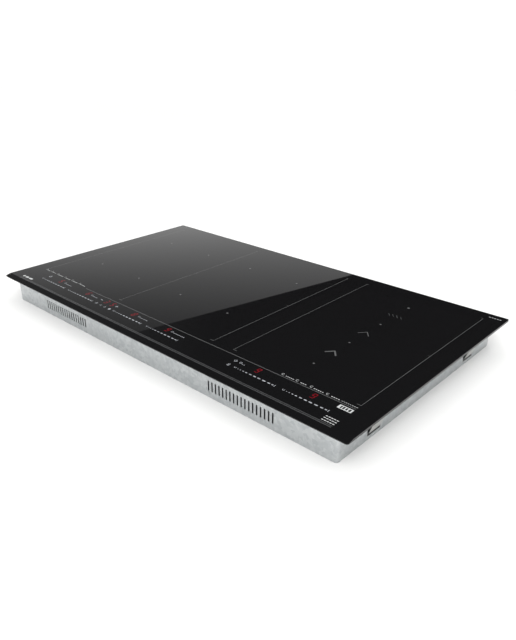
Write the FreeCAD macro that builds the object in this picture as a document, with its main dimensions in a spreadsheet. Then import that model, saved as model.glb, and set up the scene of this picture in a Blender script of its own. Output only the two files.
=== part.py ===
"""Built-in induction hob, 900 mm wide: glass-ceramic plate, steel housing and everything between them.

+X is to the right and +Y to the back of the hob, +Z is up. The origin is the middle of the worktop
plane that the hob's seal tape rests on, so the plate is above z = 0 and the housing hangs below it.
All sizes are in millimetres.
"""

import FreeCAD, Part
import math
import os
import re
import Sketcher

os.makedirs("parts", exist_ok=True)
doc = FreeCAD.newDocument("induction_hob")
Vector = FreeCAD.Vector
Rotation = FreeCAD.Rotation

# ---------------------------------------------------------------- driving dimensions

SIZES = [
    # plate, seal and housing shell
    ("glass_width", 900), ("glass_depth", 510), ("glass_thick", 4), ("glass_corner", 4),
    ("bevel_run", 12.5), ("bevel_land", 1),
    ("tape_inset", 2), ("tape_width", 6), ("tape_thick", 2), ("tape_gap", 2),
    ("frame_thick", 1), ("frame_leg", 12),
    ("side_overhang", 25), ("end_overhang", 15), ("housing_height", 50), ("housing_corner", 6),
    ("sheet_thick", 0.8), ("floor_bend", 1.5),
    ("slot_wide", 3), ("slot_tall", 18), ("slot_pitch", 8), ("slot_level", 28),
    # cooking zones
    ("zone_side_margin", 37), ("zone_back_margin", 29), ("control_depth", 85),
    ("zone_gap", 48), ("slide_zone_width", 252),
    ("flex_edge", 0.5), ("slide_edge", 6), ("coil_gap", 7), ("flex_row_gap", 14),
    ("coil_corner", 30), ("coil_eye_corner", 11), ("coil_thick", 4.5),
    ("flex_coil_wall", 38), ("slide_coil_wall", 24),
    ("glass_air", 0.2), ("mica_thick", 0.5), ("former_thick", 1), ("former_edge", 1),
    ("ferrite_thick", 5), ("ferrite_wide", 12), ("ferrite_gap", 10),
    ("carrier_thick", 1.5), ("carrier_edge", 1), ("sensor_radius", 4),
    ("spring_length", 12), ("spring_radius", 4), ("spring_wire", 0.6), ("spring_turns", 5),
    ("post_radius", 5.5), ("post_inset", 13),
    # electronics
    ("tray_thick", 1.5), ("tray_edge", 3), ("tray_front", 90), ("terminal_strip", 39),
    ("board_thick", 1.6), ("board_lift", 3.7), ("board_width", 220), ("board_depth", 150),
    ("module_inset", 80), ("module_gap", 6),
    ("sink_width", 120), ("sink_depth", 80), ("sink_base", 4), ("sink_height", 22), ("fin_thick", 1.6),
    ("filter_width", 96), ("filter_depth", 120),
    ("fan_size", 96), ("fan_thick", 26), ("fan_wall", 1.5), ("fan_bore", 42), ("fan_intake", 34),
    ("wheel_radius", 40), ("wheel_height", 12), ("wheel_lift", 4), ("hub_radius", 12),
    ("shaft_radius", 1.5), ("shaft_play", 0.05), ("boss_radius", 6),
    ("grille_slot", 4), ("grille_pitch", 8), ("grille_width", 64),
    ("fan_air", 1.5), ("outlet_width", 67), ("board_corner", 2), ("part_height", 20),
    ("capacitor_radius", 9), ("capacitor_pitch", 24), ("capacitor_row", 34),
    ("transistor_width", 16), ("transistor_thick", 5), ("transistor_pitch", 26),
    ("film_width", 26), ("film_depth", 32), ("side_part_offset", 84),
    ("rectifier_width", 30), ("rectifier_thick", 8), ("rectifier_height", 18), ("rectifier_row", 20),
    ("choke_radius", 15), ("choke_winding", 6.5), ("varistor_radius", 6), ("varistor_thick", 4),
    ("connector_width", 20), ("connector_depth", 12), ("connector_height", 10), ("connector_edge", 9),
    # control panel under the glass
    ("panel_depth", 62), ("panel_edge", 20), ("panel_wall", 1.2), ("panel_drop", 9.5), ("panel_rim", 3),
    ("touch_board_lift", 1.4), ("slider_pitch", 100), ("pad_pitch", 17), ("pad_size", 10),
    ("slider_line", 43), ("display_line", 61), ("display_width", 16), ("display_depth", 11),
    ("display_air", 0.5), ("panel_leg", 8), ("rest_depth", 4), ("touch_play", 0.5),
    # mains connection
    ("terminal_inset", 95), ("window_width", 84), ("window_floor", 13), ("window_head", 15),
    ("bezel_wall", 8), ("bezel_thick", 2), ("ear_thick", 3), ("ear_reach", 7), ("ear_gap", 0.5),
    ("cover_air", 0.3), ("cover_wall", 1.5), ("cover_depth", 6.4), ("cover_lap", 3),
    ("hinge_floor", 10), ("hinge_pin", 1.2), ("hinge_play", 0.05),
    ("block_width", 60), ("block_depth", 22), ("block_height", 18), ("block_back", 2),
    ("wire_way", 6), ("wire_way_level", 5), ("clamp_well", 3), ("clamp_depth", 4),
    ("clamp_screw", 2.6), ("clamp_height", 3), ("ear_height", 8), ("window_lip", 2),
    ("cover_relief", 1), ("grip_thick", 1), ("grip_height", 2), ("grip_drop", 5),
    ("inlet_offset", 68), ("inlet_level", 27), ("inlet_bore", 4.5), ("inlet_neck", 7), ("inlet_flange", 9.5),
    ("inlet_outside", 5), ("inlet_inside", 2), ("inlet_play", 0.1),
    ("lead_radius", 3), ("lead_bend", 18), ("ribbon_width", 20), ("ribbon_thick", 0.6), ("ribbon_lap", 12),
    # fasteners and worktop clips
    ("screw_radius", 1.5), ("screw_hole", 1.65), ("head_radius", 3.4), ("head_height", 1.8),
    ("screw_length", 5), ("screw_level", 5.5), ("screw_spread", 0.3), ("recess_wide", 0.9),
    ("clip_width", 30), ("clip_thick", 1), ("clip_spread", 300), ("clip_window_play", 2),
    ("clip_floor", 5), ("clip_hook", 3), ("clip_belly", 6.5), ("clip_belly_level", 22), ("clip_head", 14),
    ("clip_flat", 3.5), ("clip_rise", 7.5), ("clip_foot", 1), ("clip_tip", 1.2),
]
NAMES = {name for name, value in SIZES}

sheet = doc.addObject("Spreadsheet::Sheet", "Sizes")
for row, (name, value) in enumerate(SIZES, start=1):
    sheet.set(f"A{row}", name)
    sheet.set(f"B{row}", str(value))
    sheet.setAlias(f"B{row}", name)
doc.recompute()

# Sums of driving dimensions that several pieces share.
FLANGE = "(tape_thick - frame_thick)"
FLOOR = "(sheet_thick - housing_height)"
HOUSING_WIDTH = "(glass_width - 2 * side_overhang)"
HOUSING_DEPTH = "(glass_depth - 2 * end_overhang)"
INNER_WIDTH = f"({HOUSING_WIDTH} - 2 * sheet_thick)"
INNER_DEPTH = f"({HOUSING_DEPTH} - 2 * sheet_thick)"
INNER_CORNER = "(housing_corner - sheet_thick)"

ZONE_LEFT = "(zone_side_margin - glass_width / 2)"
ZONE_RIGHT = "(glass_width / 2 - zone_side_margin)"
SLIDE_LEFT = f"({ZONE_RIGHT} - slide_zone_width)"
FLEX_WIDTH = f"({SLIDE_LEFT} - zone_gap - {ZONE_LEFT})"
FLEX_X = f"({ZONE_LEFT} + {FLEX_WIDTH} / 2)"
SLIDE_X = f"({ZONE_RIGHT} - slide_zone_width / 2)"
ZONE_DEPTH = "(glass_depth - zone_back_margin - control_depth)"
ZONE_Y = "((control_depth - zone_back_margin) / 2)"

MICA_TOP = "(tape_thick - glass_air)"
COIL_TOP = f"({MICA_TOP} - mica_thick)"
COIL_BOTTOM = f"({COIL_TOP} - coil_thick)"
FERRITE_TOP = f"({COIL_BOTTOM} - former_thick)"
CARRIER_TOP = f"({FERRITE_TOP} - ferrite_thick)"
CARRIER_BOTTOM = f"({CARRIER_TOP} - carrier_thick)"
POST_TOP = f"({CARRIER_BOTTOM} - spring_length)"

TRAY_TOP = f"({FLOOR} + tray_thick)"
TRAY_FRONT = "(tray_front - glass_depth / 2)"
TRAY_BACK = f"({INNER_DEPTH} / 2 - terminal_strip)"
BOARD_BOTTOM = f"({TRAY_TOP} + board_lift)"
BOARD_TOP = f"({BOARD_BOTTOM} + board_thick)"
MODULE_X = f"({SLIDE_LEFT} + module_inset)"
FAN_Y = f"({TRAY_FRONT} + module_gap + fan_size / 2)"
BOARD_Y = f"({FAN_Y} + fan_size / 2 + module_gap + board_depth / 2)"

PANEL_Y = "(panel_edge + panel_depth / 2 - glass_depth / 2)"
PANEL_FLOOR = "(-panel_drop)"
TOUCH_BOTTOM = f"({PANEL_FLOOR} + panel_wall + touch_board_lift)"
TOUCH_TOP = f"({TOUCH_BOTTOM} + board_thick)"

TERMINAL_X = f"({HOUSING_WIDTH} / 2 - terminal_inset)"
REAR = f"({HOUSING_DEPTH} / 2)"
HINGE_Y = f"({REAR} + bezel_thick + cover_air + cover_depth / 2)"
HINGE_Z = "(hinge_floor - housing_height)"
WINDOW_Z = "(window_floor - housing_height)"
WINDOW_TALL = "(housing_height - window_floor - window_head)"
COVER_RISE = f"({WINDOW_TALL} + cover_lap)"
CLIP_END = "(housing_height - clip_floor)"

# ---------------------------------------------------------------- modelling steps

UPRIGHT = Rotation()
ALONG = {
    "+X": Rotation(Vector(0, 1, 0), 90),
    "-X": Rotation(Vector(0, 1, 0), -90),
    "+Y": Rotation(Vector(1, 0, 0), -90),
    "-Y": Rotation(Vector(1, 0, 0), 90),
    "+Z": UPRIGHT,
    "-Z": Rotation(Vector(1, 0, 0), 180),
}


def formula(text):
    """The sum with each named size read from the sheet."""
    return re.sub(r"[a-z_]+", lambda m: "Sizes." + m[0] if m[0] in NAMES else m[0], str(text))


def number(text):
    """The sum's value in millimetres."""
    return float(sheet.evalExpression(formula(text)))


def bind(piece, **sums):
    """Each property follows its sum."""
    for name, text in sums.items():
        piece.setExpression(name, formula(text))


def put(piece, x=0, y=0, z=0, turn=UPRIGHT):
    """Turns the piece about its own origin, then takes that origin to a place that follows the sheet."""
    piece.Placement = FreeCAD.Placement(Vector(), turn)
    for axis, text in zip("xyz", (x, y, z)):
        piece.setExpression("Placement.Base." + axis, formula(text))
    return piece


def block(name, length, width, height, x=0, y=0, z=0):
    """A box centred on x and y that stands on z."""
    piece = doc.addObject("Part::Box", name)
    bind(piece, Length=length, Width=width, Height=height)
    return put(piece, f"{x} - ({length}) / 2", f"{y} - ({width}) / 2", z)


def rod(name, radius, length, x=0, y=0, z=0, along="+Z"):
    """A cylinder that starts at the place given."""
    piece = doc.addObject("Part::Cylinder", name)
    bind(piece, Radius=radius, Height=length)
    return put(piece, x, y, z, ALONG[along])


def rounded_rectangle(sketch, width, depth, corner):
    """Four sides and four tangent arcs centred on the sketch's origin."""
    x, y, r = number(width) / 2, number(depth) / 2, number(corner)
    ends = [
        (r - x, -y, x - r, -y), (x, r - y, x, y - r), (x - r, y, r - x, y), (-x, y - r, -x, r - y),
    ]
    middles = [(x - r, r - y), (x - r, y - r), (r - x, y - r), (r - x, r - y)]
    first = sketch.GeometryCount
    for quarter, (side, middle) in enumerate(zip(ends, middles)):
        start = math.radians(90 * quarter - 90)
        circle = Part.Circle(Vector(*middle), Vector(0, 0, 1), r)
        sketch.addGeometry(Part.LineSegment(Vector(*side[:2]), Vector(*side[2:])), False)
        sketch.addGeometry(Part.ArcOfCircle(circle, start, start + math.pi / 2), False)
    for i in range(8):
        sketch.addConstraint(Sketcher.Constraint("Tangent", first + i, 2, first + (i + 1) % 8, 1))
    for i, way in enumerate(("Horizontal", "Vertical", "Horizontal", "Vertical")):
        sketch.addConstraint(Sketcher.Constraint(way, first + 2 * i))
    for i in (3, 5, 7):
        sketch.addConstraint(Sketcher.Constraint("Equal", first + 1, first + i))
    sketch.addConstraint(Sketcher.Constraint("Symmetric", first, 1, first + 4, 1, -1, 1))
    sized = [
        (Sketcher.Constraint("DistanceX", first + 6, 1, first + 2, 1, 2 * x), width),
        (Sketcher.Constraint("DistanceY", first, 1, first + 4, 1, 2 * y), depth),
        (Sketcher.Constraint("Radius", first + 1, r), corner),
    ]
    for constraint, text in sized:
        index = sketch.addConstraint(constraint)
        sketch.setExpression(f"Constraints[{index}]", formula(text))


def base_plane(body, role):
    """The body's own origin plane with this role."""
    return next(plane for plane in body.Origin.OriginFeatures if plane.Role == role)


def slab(name, outline, thick, x=0, y=0, z=0, hole=None):
    """A flat plate of (width, depth, corner), with a rounded hole in its middle where one is given."""
    body = doc.addObject("PartDesign::Body", name)
    sketch = body.newObject("Sketcher::SketchObject", name + "_outline")
    sketch.AttachmentSupport = [(base_plane(body, "XY_Plane"), "")]
    sketch.MapMode = "FlatFace"
    rounded_rectangle(sketch, *outline)
    if hole:
        rounded_rectangle(sketch, *hole)
    pad = body.newObject("PartDesign::Pad", name + "_pad")
    pad.Profile = sketch
    bind(pad, Length=thick)
    return put(body, x, y, z)


def cut(name, base, tools):
    """The base with every tool taken out of it."""
    tool = group(name + "_openings", tools)
    piece = doc.addObject("Part::Cut", name)
    piece.Base = base
    piece.Tool = tool
    return piece


def fuse(name, pieces):
    """One solid of pieces that touch."""
    piece = doc.addObject("Part::MultiFuse", name)
    piece.Shapes = pieces
    piece.Refine = True
    return piece


def group(name, pieces):
    """Like pieces that share a name and stay separate solids."""
    piece = doc.addObject("Part::Compound", name)
    piece.Links = pieces
    return piece


def copy(name, piece, x=0, y=0, z=0, turn=UPRIGHT):
    """Another one of a piece that was made about the origin."""
    link = doc.addObject("App::Link", name)
    link.LinkedObject = piece
    link.LinkTransform = True
    return put(link, x, y, z, turn)


def slots(name, count, length, width, height, x, y, z, way, pitch):
    """A row of equal slots centred on x or y, whichever way the row runs."""
    row = []
    for i in range(count):
        shift = f"({i} - {count - 1} / 2) * {pitch}"
        place = (f"{x} + {shift}", y) if way == "X" else (x, f"{y} + {shift}")
        row.append(block(f"{name}_{i + 1}", length, width, height, *place, z))
    return row


# ---------------------------------------------------------------- glass-ceramic plate

# One toughened plate; its front edge is ground to a long bevel above a narrow upright land.
plate = slab(
    "glass_ceramic_top", ("glass_width", "glass_depth", "glass_corner"), "glass_thick", z="tape_thick"
)
bevel = plate.newObject("Sketcher::SketchObject", "front_bevel_outline")
bevel.AttachmentSupport = [(base_plane(plate, "YZ_Plane"), "")]
bevel.MapMode = "FlatFace"
edge_y, top_z = -number("glass_depth") / 2, number("glass_thick")
corners = [
    Vector(edge_y, number("bevel_land")), Vector(edge_y + number("bevel_run"), top_z), Vector(edge_y, top_z),
]
for i in range(3):
    bevel.addGeometry(Part.LineSegment(corners[i], corners[(i + 1) % 3]), False)
for i in range(3):
    bevel.addConstraint(Sketcher.Constraint("Coincident", i, 2, (i + 1) % 3, 1))
bevel.addConstraint(Sketcher.Constraint("Horizontal", 1))
bevel.addConstraint(Sketcher.Constraint("Vertical", 2))
for constraint, text in [
    (Sketcher.Constraint("DistanceX", -1, 1, 0, 1, edge_y), "-glass_depth / 2"),
    (Sketcher.Constraint("DistanceY", -1, 1, 0, 1, number("bevel_land")), "bevel_land"),
    (Sketcher.Constraint("DistanceX", 0, 1, 0, 2, number("bevel_run")), "bevel_run"),
    (Sketcher.Constraint("DistanceY", -1, 1, 1, 1, top_z), "glass_thick"),
]:
    index = bevel.addConstraint(constraint)
    bevel.setExpression(f"Constraints[{index}]", formula(text))
grind = plate.newObject("PartDesign::Pocket", "front_bevel")
grind.Profile = bevel
grind.Type = "ThroughAll"
grind.Midplane = True

# ---------------------------------------------------------------- seal tape and support frame

# Closed-cell foam tape on the underside of the plate's rim; the hob rests on the worktop with it.
TAPE_WIDTH, TAPE_DEPTH = "(glass_width - 2 * tape_inset)", "(glass_depth - 2 * tape_inset)"
slab(
    "edge_seal_tape",
    (TAPE_WIDTH, TAPE_DEPTH, "glass_corner"),
    "tape_thick",
    hole=(f"{TAPE_WIDTH} - 2 * tape_width", f"{TAPE_DEPTH} - 2 * tape_width", "glass_corner"),
)

# Folded steel angle, glued under the plate with its flange and screwed to the housing by its leg.
FRAME_INSET = "2 * (tape_inset + tape_width + tape_gap)"
LEG_HOLE = (
    f"{INNER_WIDTH} - 2 * frame_thick", f"{INNER_DEPTH} - 2 * frame_thick", f"{INNER_CORNER} - frame_thick",
)
flange = slab(
    "frame_flange",
    (f"glass_width - {FRAME_INSET}", f"glass_depth - {FRAME_INSET}", "housing_corner"),
    "frame_thick",
    z=FLANGE,
    hole=LEG_HOLE,
)
leg = slab(
    "frame_leg_ring",
    (INNER_WIDTH, INNER_DEPTH, INNER_CORNER),
    f"frame_leg + {FLANGE}",
    z="-frame_leg",
    hole=LEG_HOLE,
)

# ---------------------------------------------------------------- housing screws

# Pan-head screws through the housing wall into the frame's leg, four along each side and two on
# each end, all at one level.
SCREWS = []
for i, share in enumerate((-1.4, -0.5, 0.5, 1.4)):
    across = f"{share} * screw_spread * {HOUSING_WIDTH}"
    SCREWS.append((f"front_{i + 1}", across, f"-{REAR}", "-Y"))
    SCREWS.append((f"back_{i + 1}", across, REAR, "+Y"))
for i, share in enumerate((-1.1, 1.1)):
    along = f"{share} * screw_spread * {HOUSING_DEPTH}"
    SCREWS.append((f"left_{i + 1}", f"-{HOUSING_WIDTH} / 2", along, "-X"))
    SCREWS.append((f"right_{i + 1}", f"{HOUSING_WIDTH} / 2", along, "+X"))


def pan_head_screw(name):
    """Head above the origin with a cross recess, shank below it."""
    head = rod(name + "_head", "head_radius", "head_height")
    shank = rod(name + "_shank", "screw_radius", "screw_length", along="-Z")
    solid = fuse(name + "_blank", [head, shank])
    recess = [
        block(name + "_recess_x", "1.3 * head_radius", "recess_wide", "head_height", z="head_height / 3"),
        block(name + "_recess_y", "recess_wide", "1.3 * head_radius", "head_height", z="head_height / 3"),
    ]
    return cut(name, solid, [fuse(name + "_cross", recess)])


screw = pan_head_screw("pan_head_screw")
group(
    "housing_screws",
    [copy(f"housing_screw_{side}", screw, x, y, "-screw_level", ALONG[way]) for side, x, y, way in SCREWS],
)


def screw_holes(name):
    """Clearance holes on the housing screws' axes, through wall and leg."""
    deep = "2 * screw_length"
    hole = rod(name, "screw_hole", deep, z=f"-{deep} / 2")
    return [copy(f"{name}_{side}", hole, x, y, "-screw_level", ALONG[way]) for side, x, y, way in SCREWS]


cut("support_frame", fuse("frame_angle", [flange, leg]), screw_holes("frame_hole"))

# ---------------------------------------------------------------- housing tray

# Folded and welded tray of galvanised sheet with rounded upright corners and a small floor bend.
tray = doc.addObject("PartDesign::Body", "housing_pan")
HOUSING_OUTLINE = (HOUSING_WIDTH, HOUSING_DEPTH, "housing_corner")
for name, opening, height in [
    ("pan_floor", None, "sheet_thick"),
    ("pan_wall", (INNER_WIDTH, INNER_DEPTH, INNER_CORNER), f"housing_height + {FLANGE}"),
]:
    sketch = tray.newObject("Sketcher::SketchObject", name + "_outline")
    sketch.AttachmentSupport = [(base_plane(tray, "XY_Plane"), "")]
    sketch.MapMode = "FlatFace"
    rounded_rectangle(sketch, *HOUSING_OUTLINE)
    if opening:
        rounded_rectangle(sketch, *opening)
    pad = tray.newObject("PartDesign::Pad", name)
    pad.Profile = sketch
    bind(pad, Length=height)
doc.recompute()
floor_edges = [
    f"Edge{i}"
    for i, edge in enumerate(pad.Shape.Edges, start=1)
    if edge.BoundBox.ZMax < number("sheet_thick") / 2
]
bend = tray.newObject("PartDesign::Fillet", "pan_floor_bend")
bend.Base = (pad, floor_edges)
bind(bend, Radius="floor_bend")
put(tray, z="-housing_height")

CLIP_SIDES = [("left", -1, "-X"), ("right", 1, "+X")]
CLIP_ENDS = [("front", -1), ("back", 1)]
GRILLE_SLOTS, VENT_SLOTS = 8, 18
openings = screw_holes("wall_hole")
for side, sign in (("left", -1), ("right", 1)):
    fan_x = f"{sign} * {MODULE_X}"
    openings += slots(
        f"fan_grille_{side}", GRILLE_SLOTS, "grille_width", "grille_slot", "3 * sheet_thick",
        fan_x, FAN_Y, "-housing_height - sheet_thick", "Y", "grille_pitch",
    )
    for place, y in (("front", f"-{REAR}"), ("back", REAR)):
        if (place, side) == ("back", "right"):
            continue
        openings += slots(
            f"{place}_vent_{side}", VENT_SLOTS, "slot_wide", "6 * sheet_thick", "slot_tall",
            fan_x, y, "-slot_level - slot_tall / 2", "X", "slot_pitch",
        )
for side, sign, way in CLIP_SIDES:
    for end, end_sign in CLIP_ENDS:
        openings.append(
            block(
                f"clip_window_{end}_{side}",
                "6 * sheet_thick",
                "clip_width + 2 * clip_window_play",
                f"{CLIP_END} - clip_head - clip_window_play / 2",
                f"{sign} * {HOUSING_WIDTH} / 2",
                f"{end_sign} * clip_spread / 2",
                f"clip_window_play - {CLIP_END}",
            )
        )
openings.append(
    block("terminal_window", "window_width", "6 * sheet_thick", WINDOW_TALL, TERMINAL_X, REAR, WINDOW_Z)
)
INLET_X = f"({TERMINAL_X} - inlet_offset)"
openings.append(
    rod("inlet_hole", "inlet_neck", "6 * sheet_thick", INLET_X, f"{REAR} - 3 * sheet_thick",
        "-inlet_level", "+Y")
)
cut("housing_tray", tray, openings)

# ---------------------------------------------------------------- worktop clips

# Leaf springs of stainless strip on both ends. The lower end hooks behind the wall through its
# window, the belly stands proud of the wall and grips the side of the worktop's cut-out.
hook, hook_end = number("clip_hook"), -number(CLIP_END)
CLIP_LINE = [
    (-hook, hook_end),
    (-hook, hook_end + number("clip_flat")),
    (number("clip_foot"), hook_end + number("clip_rise")),
    (number("clip_belly"), -number("clip_belly_level")),
    (number("clip_tip"), -number("clip_head")),
]


def strip_profile(points, thick):
    """Both faces of a bent strip: each point moves half a thickness along its mitre, each way."""
    faces = []
    for way in (-1, 1):
        face = []
        for i, point in enumerate(points):
            runs = [points[j + 1] - points[j] for j in (i - 1, i) if 0 <= j < len(points) - 1]
            normals = [Vector(-run.y, run.x).normalize() for run in runs]
            mitre = sum(normals, Vector()).normalize()
            face.append(point + mitre * (way * thick / 2 / mitre.dot(normals[0])))
        faces.append(face)
    return faces[0] + faces[1][::-1]


def worktop_clip(name, sign, end_sign):
    """The strip's profile in the XZ plane, as wide along Y as the clip."""
    wall = number(f"{HOUSING_WIDTH} / 2")
    half = number("clip_width") / 2
    line = [Vector(out, level) for out, level in CLIP_LINE]
    outline = [
        Vector(sign * (wall + point.x), -half, point.y) for point in strip_profile(line, number("clip_thick"))
    ]
    piece = doc.addObject("Part::Feature", name)
    piece.Shape = Part.Face(Part.makePolygon(outline + outline[:1])).extrude(Vector(0, 2 * half, 0))
    return put(piece, y=f"{end_sign} * clip_spread / 2")


for side, sign, way in CLIP_SIDES:
    for end, end_sign in CLIP_ENDS:
        worktop_clip(f"worktop_clip_{end}_{side}", sign, end_sign)

# ---------------------------------------------------------------- electronics tray

# Moulded tray on the housing floor: it insulates the boards, leaves the fans' intakes open and has
# the posts that the coil carriers' springs stand on.
TRAY_DEPTH = f"({TRAY_BACK} - {TRAY_FRONT})"
POSTS = {
    "flex": [
        (f"{FLEX_X} + {i} * ({FLEX_WIDTH} / 2 - post_inset)", y)
        for i in (-1, 1)
        for y in (f"{TRAY_FRONT} + post_inset", f"{TRAY_BACK} - post_inset")
    ],
    "slide": [
        (f"{SLIDE_X} + {i} * (slide_zone_width / 2 - post_inset)", y)
        for i in (-1, 1)
        for y in (f"{TRAY_FRONT} + post_inset", f"{TRAY_BACK} - post_inset")
    ],
}
BOARDS = [
    ("power_left", f"-{MODULE_X}", BOARD_Y, "board_width", "board_depth"),
    ("power_right", MODULE_X, BOARD_Y, "board_width", "board_depth"),
    ("filter", "0", BOARD_Y, "filter_width", "filter_depth"),
]
tray_pieces = [
    slab(
        "tray_plate",
        (f"{INNER_WIDTH} - 2 * tray_edge", TRAY_DEPTH, INNER_CORNER),
        "tray_thick",
        y=f"({TRAY_FRONT} + {TRAY_BACK}) / 2",
        z=FLOOR,
    )
]
for zone, posts in POSTS.items():
    for i, (x, y) in enumerate(posts, start=1):
        tray_pieces.append(rod(f"{zone}_post_{i}", "post_radius", f"{POST_TOP} - {FLOOR}", x, y, FLOOR))
for name, x, y, width, depth in BOARDS:
    for i, (across, back) in enumerate(((-1, -1), (1, -1), (1, 1), (-1, 1)), start=1):
        tray_pieces.append(
            rod(
                f"{name}_standoff_{i}", "2 * screw_radius", f"{BOARD_BOTTOM} - {FLOOR}",
                f"{x} + {across} * ({width} / 2 - 3 * screw_radius)",
                f"{y} + {back} * ({depth} / 2 - 3 * screw_radius)", FLOOR,
            )
        )
intakes = [
    rod(f"tray_intake_{side}", "fan_intake", "3 * tray_thick", f"{sign} * {MODULE_X}", FAN_Y,
        f"{FLOOR} - tray_thick")
    for side, sign in (("left", -1), ("right", 1))
]
cut("electronics_tray", fuse("tray_moulding", tray_pieces), intakes)

# ---------------------------------------------------------------- circuit boards and their components

for name, x, y, width, depth in BOARDS:
    label = "filter_board" if name == "filter" else name.replace("power", "power_board")
    slab(label, (width, depth, "board_corner"), "board_thick", x, y, BOARD_BOTTOM)

SINK_Y = f"({BOARD_Y} - board_depth / 2 + module_gap + sink_depth / 2)"
SINK_BACK = f"({SINK_Y} + sink_depth / 2)"
FIN_COUNT = 13
for side, sign in (("left", -1), ("right", 1)):
    x = f"{sign} * {MODULE_X}"
    # Extruded aluminium comb in the fan's air stream.
    fins = slots(
        f"fin_{side}", FIN_COUNT, "fin_thick", "sink_depth", "sink_height",
        x, SINK_Y, BOARD_TOP, "X", f"(sink_width - fin_thick) / {FIN_COUNT - 1}",
    )
    base = block(f"sink_base_{side}", "sink_width", "sink_depth", "sink_base", x, SINK_Y, BOARD_TOP)
    fuse(f"heat_sink_{side}", [base] + fins)

    # Film and electrolytic capacitors, the rectifier and the output transistors.
    components = []
    for i in range(4):
        components.append(
            rod(f"capacitor_{side}_{i + 1}", "capacitor_radius", "part_height",
                f"{x} + ({i} - 1.5) * capacitor_pitch", f"{SINK_BACK} + capacitor_row", BOARD_TOP)
        )
        components.append(
            block(f"transistor_{side}_{i + 1}", "transistor_width", "transistor_thick", "part_height",
                  f"{x} + ({i} - 1.5) * transistor_pitch", f"{SINK_BACK} + transistor_thick / 2", BOARD_TOP)
        )
    for i, way in enumerate((-1, 1), start=1):
        components.append(
            block(f"film_capacitor_{side}_{i}", "film_width", "film_depth", "part_height",
                  f"{x} + {way} * side_part_offset", SINK_Y, BOARD_TOP)
        )
        components.append(
            block(f"rectifier_{side}_{i}", "rectifier_width", "rectifier_thick", "rectifier_height",
                  f"{x} + {way} * side_part_offset", f"{SINK_BACK} + rectifier_row", BOARD_TOP)
        )
    group(f"power_components_{side}", components)

# The mains filter's parts as blocks: width, depth, height, and place right of and behind the
# filter board's middle. The mains connector stands on the middle line at the board's back edge.
FILTER_PARTS = [
    ("suppressor_1", 14, 32, 18, 22, -30),
    ("suppressor_2", 32, 14, 16, -20, 14),
    ("relay", 19, 16, 16, 22, 8),
]
CHOKE_X, CHOKE_BACK, VARISTOR_BACK = -20, -28, 34
CONNECTOR_Y = f"({BOARD_Y} + filter_depth / 2 - connector_edge)"
choke = doc.addObject("Part::Torus", "choke")
bind(choke, Radius1="choke_radius", Radius2="choke_winding")
put(choke, f"{CHOKE_X}", f"{BOARD_Y} + ({CHOKE_BACK})", f"{BOARD_TOP} + choke_winding")
varistor = rod("varistor", "varistor_radius", "varistor_thick", f"{CHOKE_X}", f"{BOARD_Y} + {VARISTOR_BACK}",
               f"{BOARD_TOP} + varistor_radius", "+Y")
connector = block("mains_connector", "connector_width", "connector_depth", "connector_height", "0",
                  CONNECTOR_Y, BOARD_TOP)
blocks = [
    block(name, f"{width}", f"{depth}", f"{height}", f"{right}", f"{BOARD_Y} + ({behind})", BOARD_TOP)
    for name, width, depth, height, right, behind in FILTER_PARTS
]
group("filter_components", [choke, varistor, connector] + blocks)

# ---------------------------------------------------------------- fans

# Radial blowers: air comes in through the floor grille and leaves over the heat sink.
FAN_TOP = f"({TRAY_TOP} + fan_thick)"
WHEEL_BOTTOM = f"({TRAY_TOP} + wheel_lift)"
BOSS_LENGTH = "(fan_thick - fan_wall - wheel_lift - wheel_height - fan_air)"
FAN_CORNERS = [(i, j) for i in (-1, 1) for j in (-1, 1)]
BLADES = 17


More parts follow.
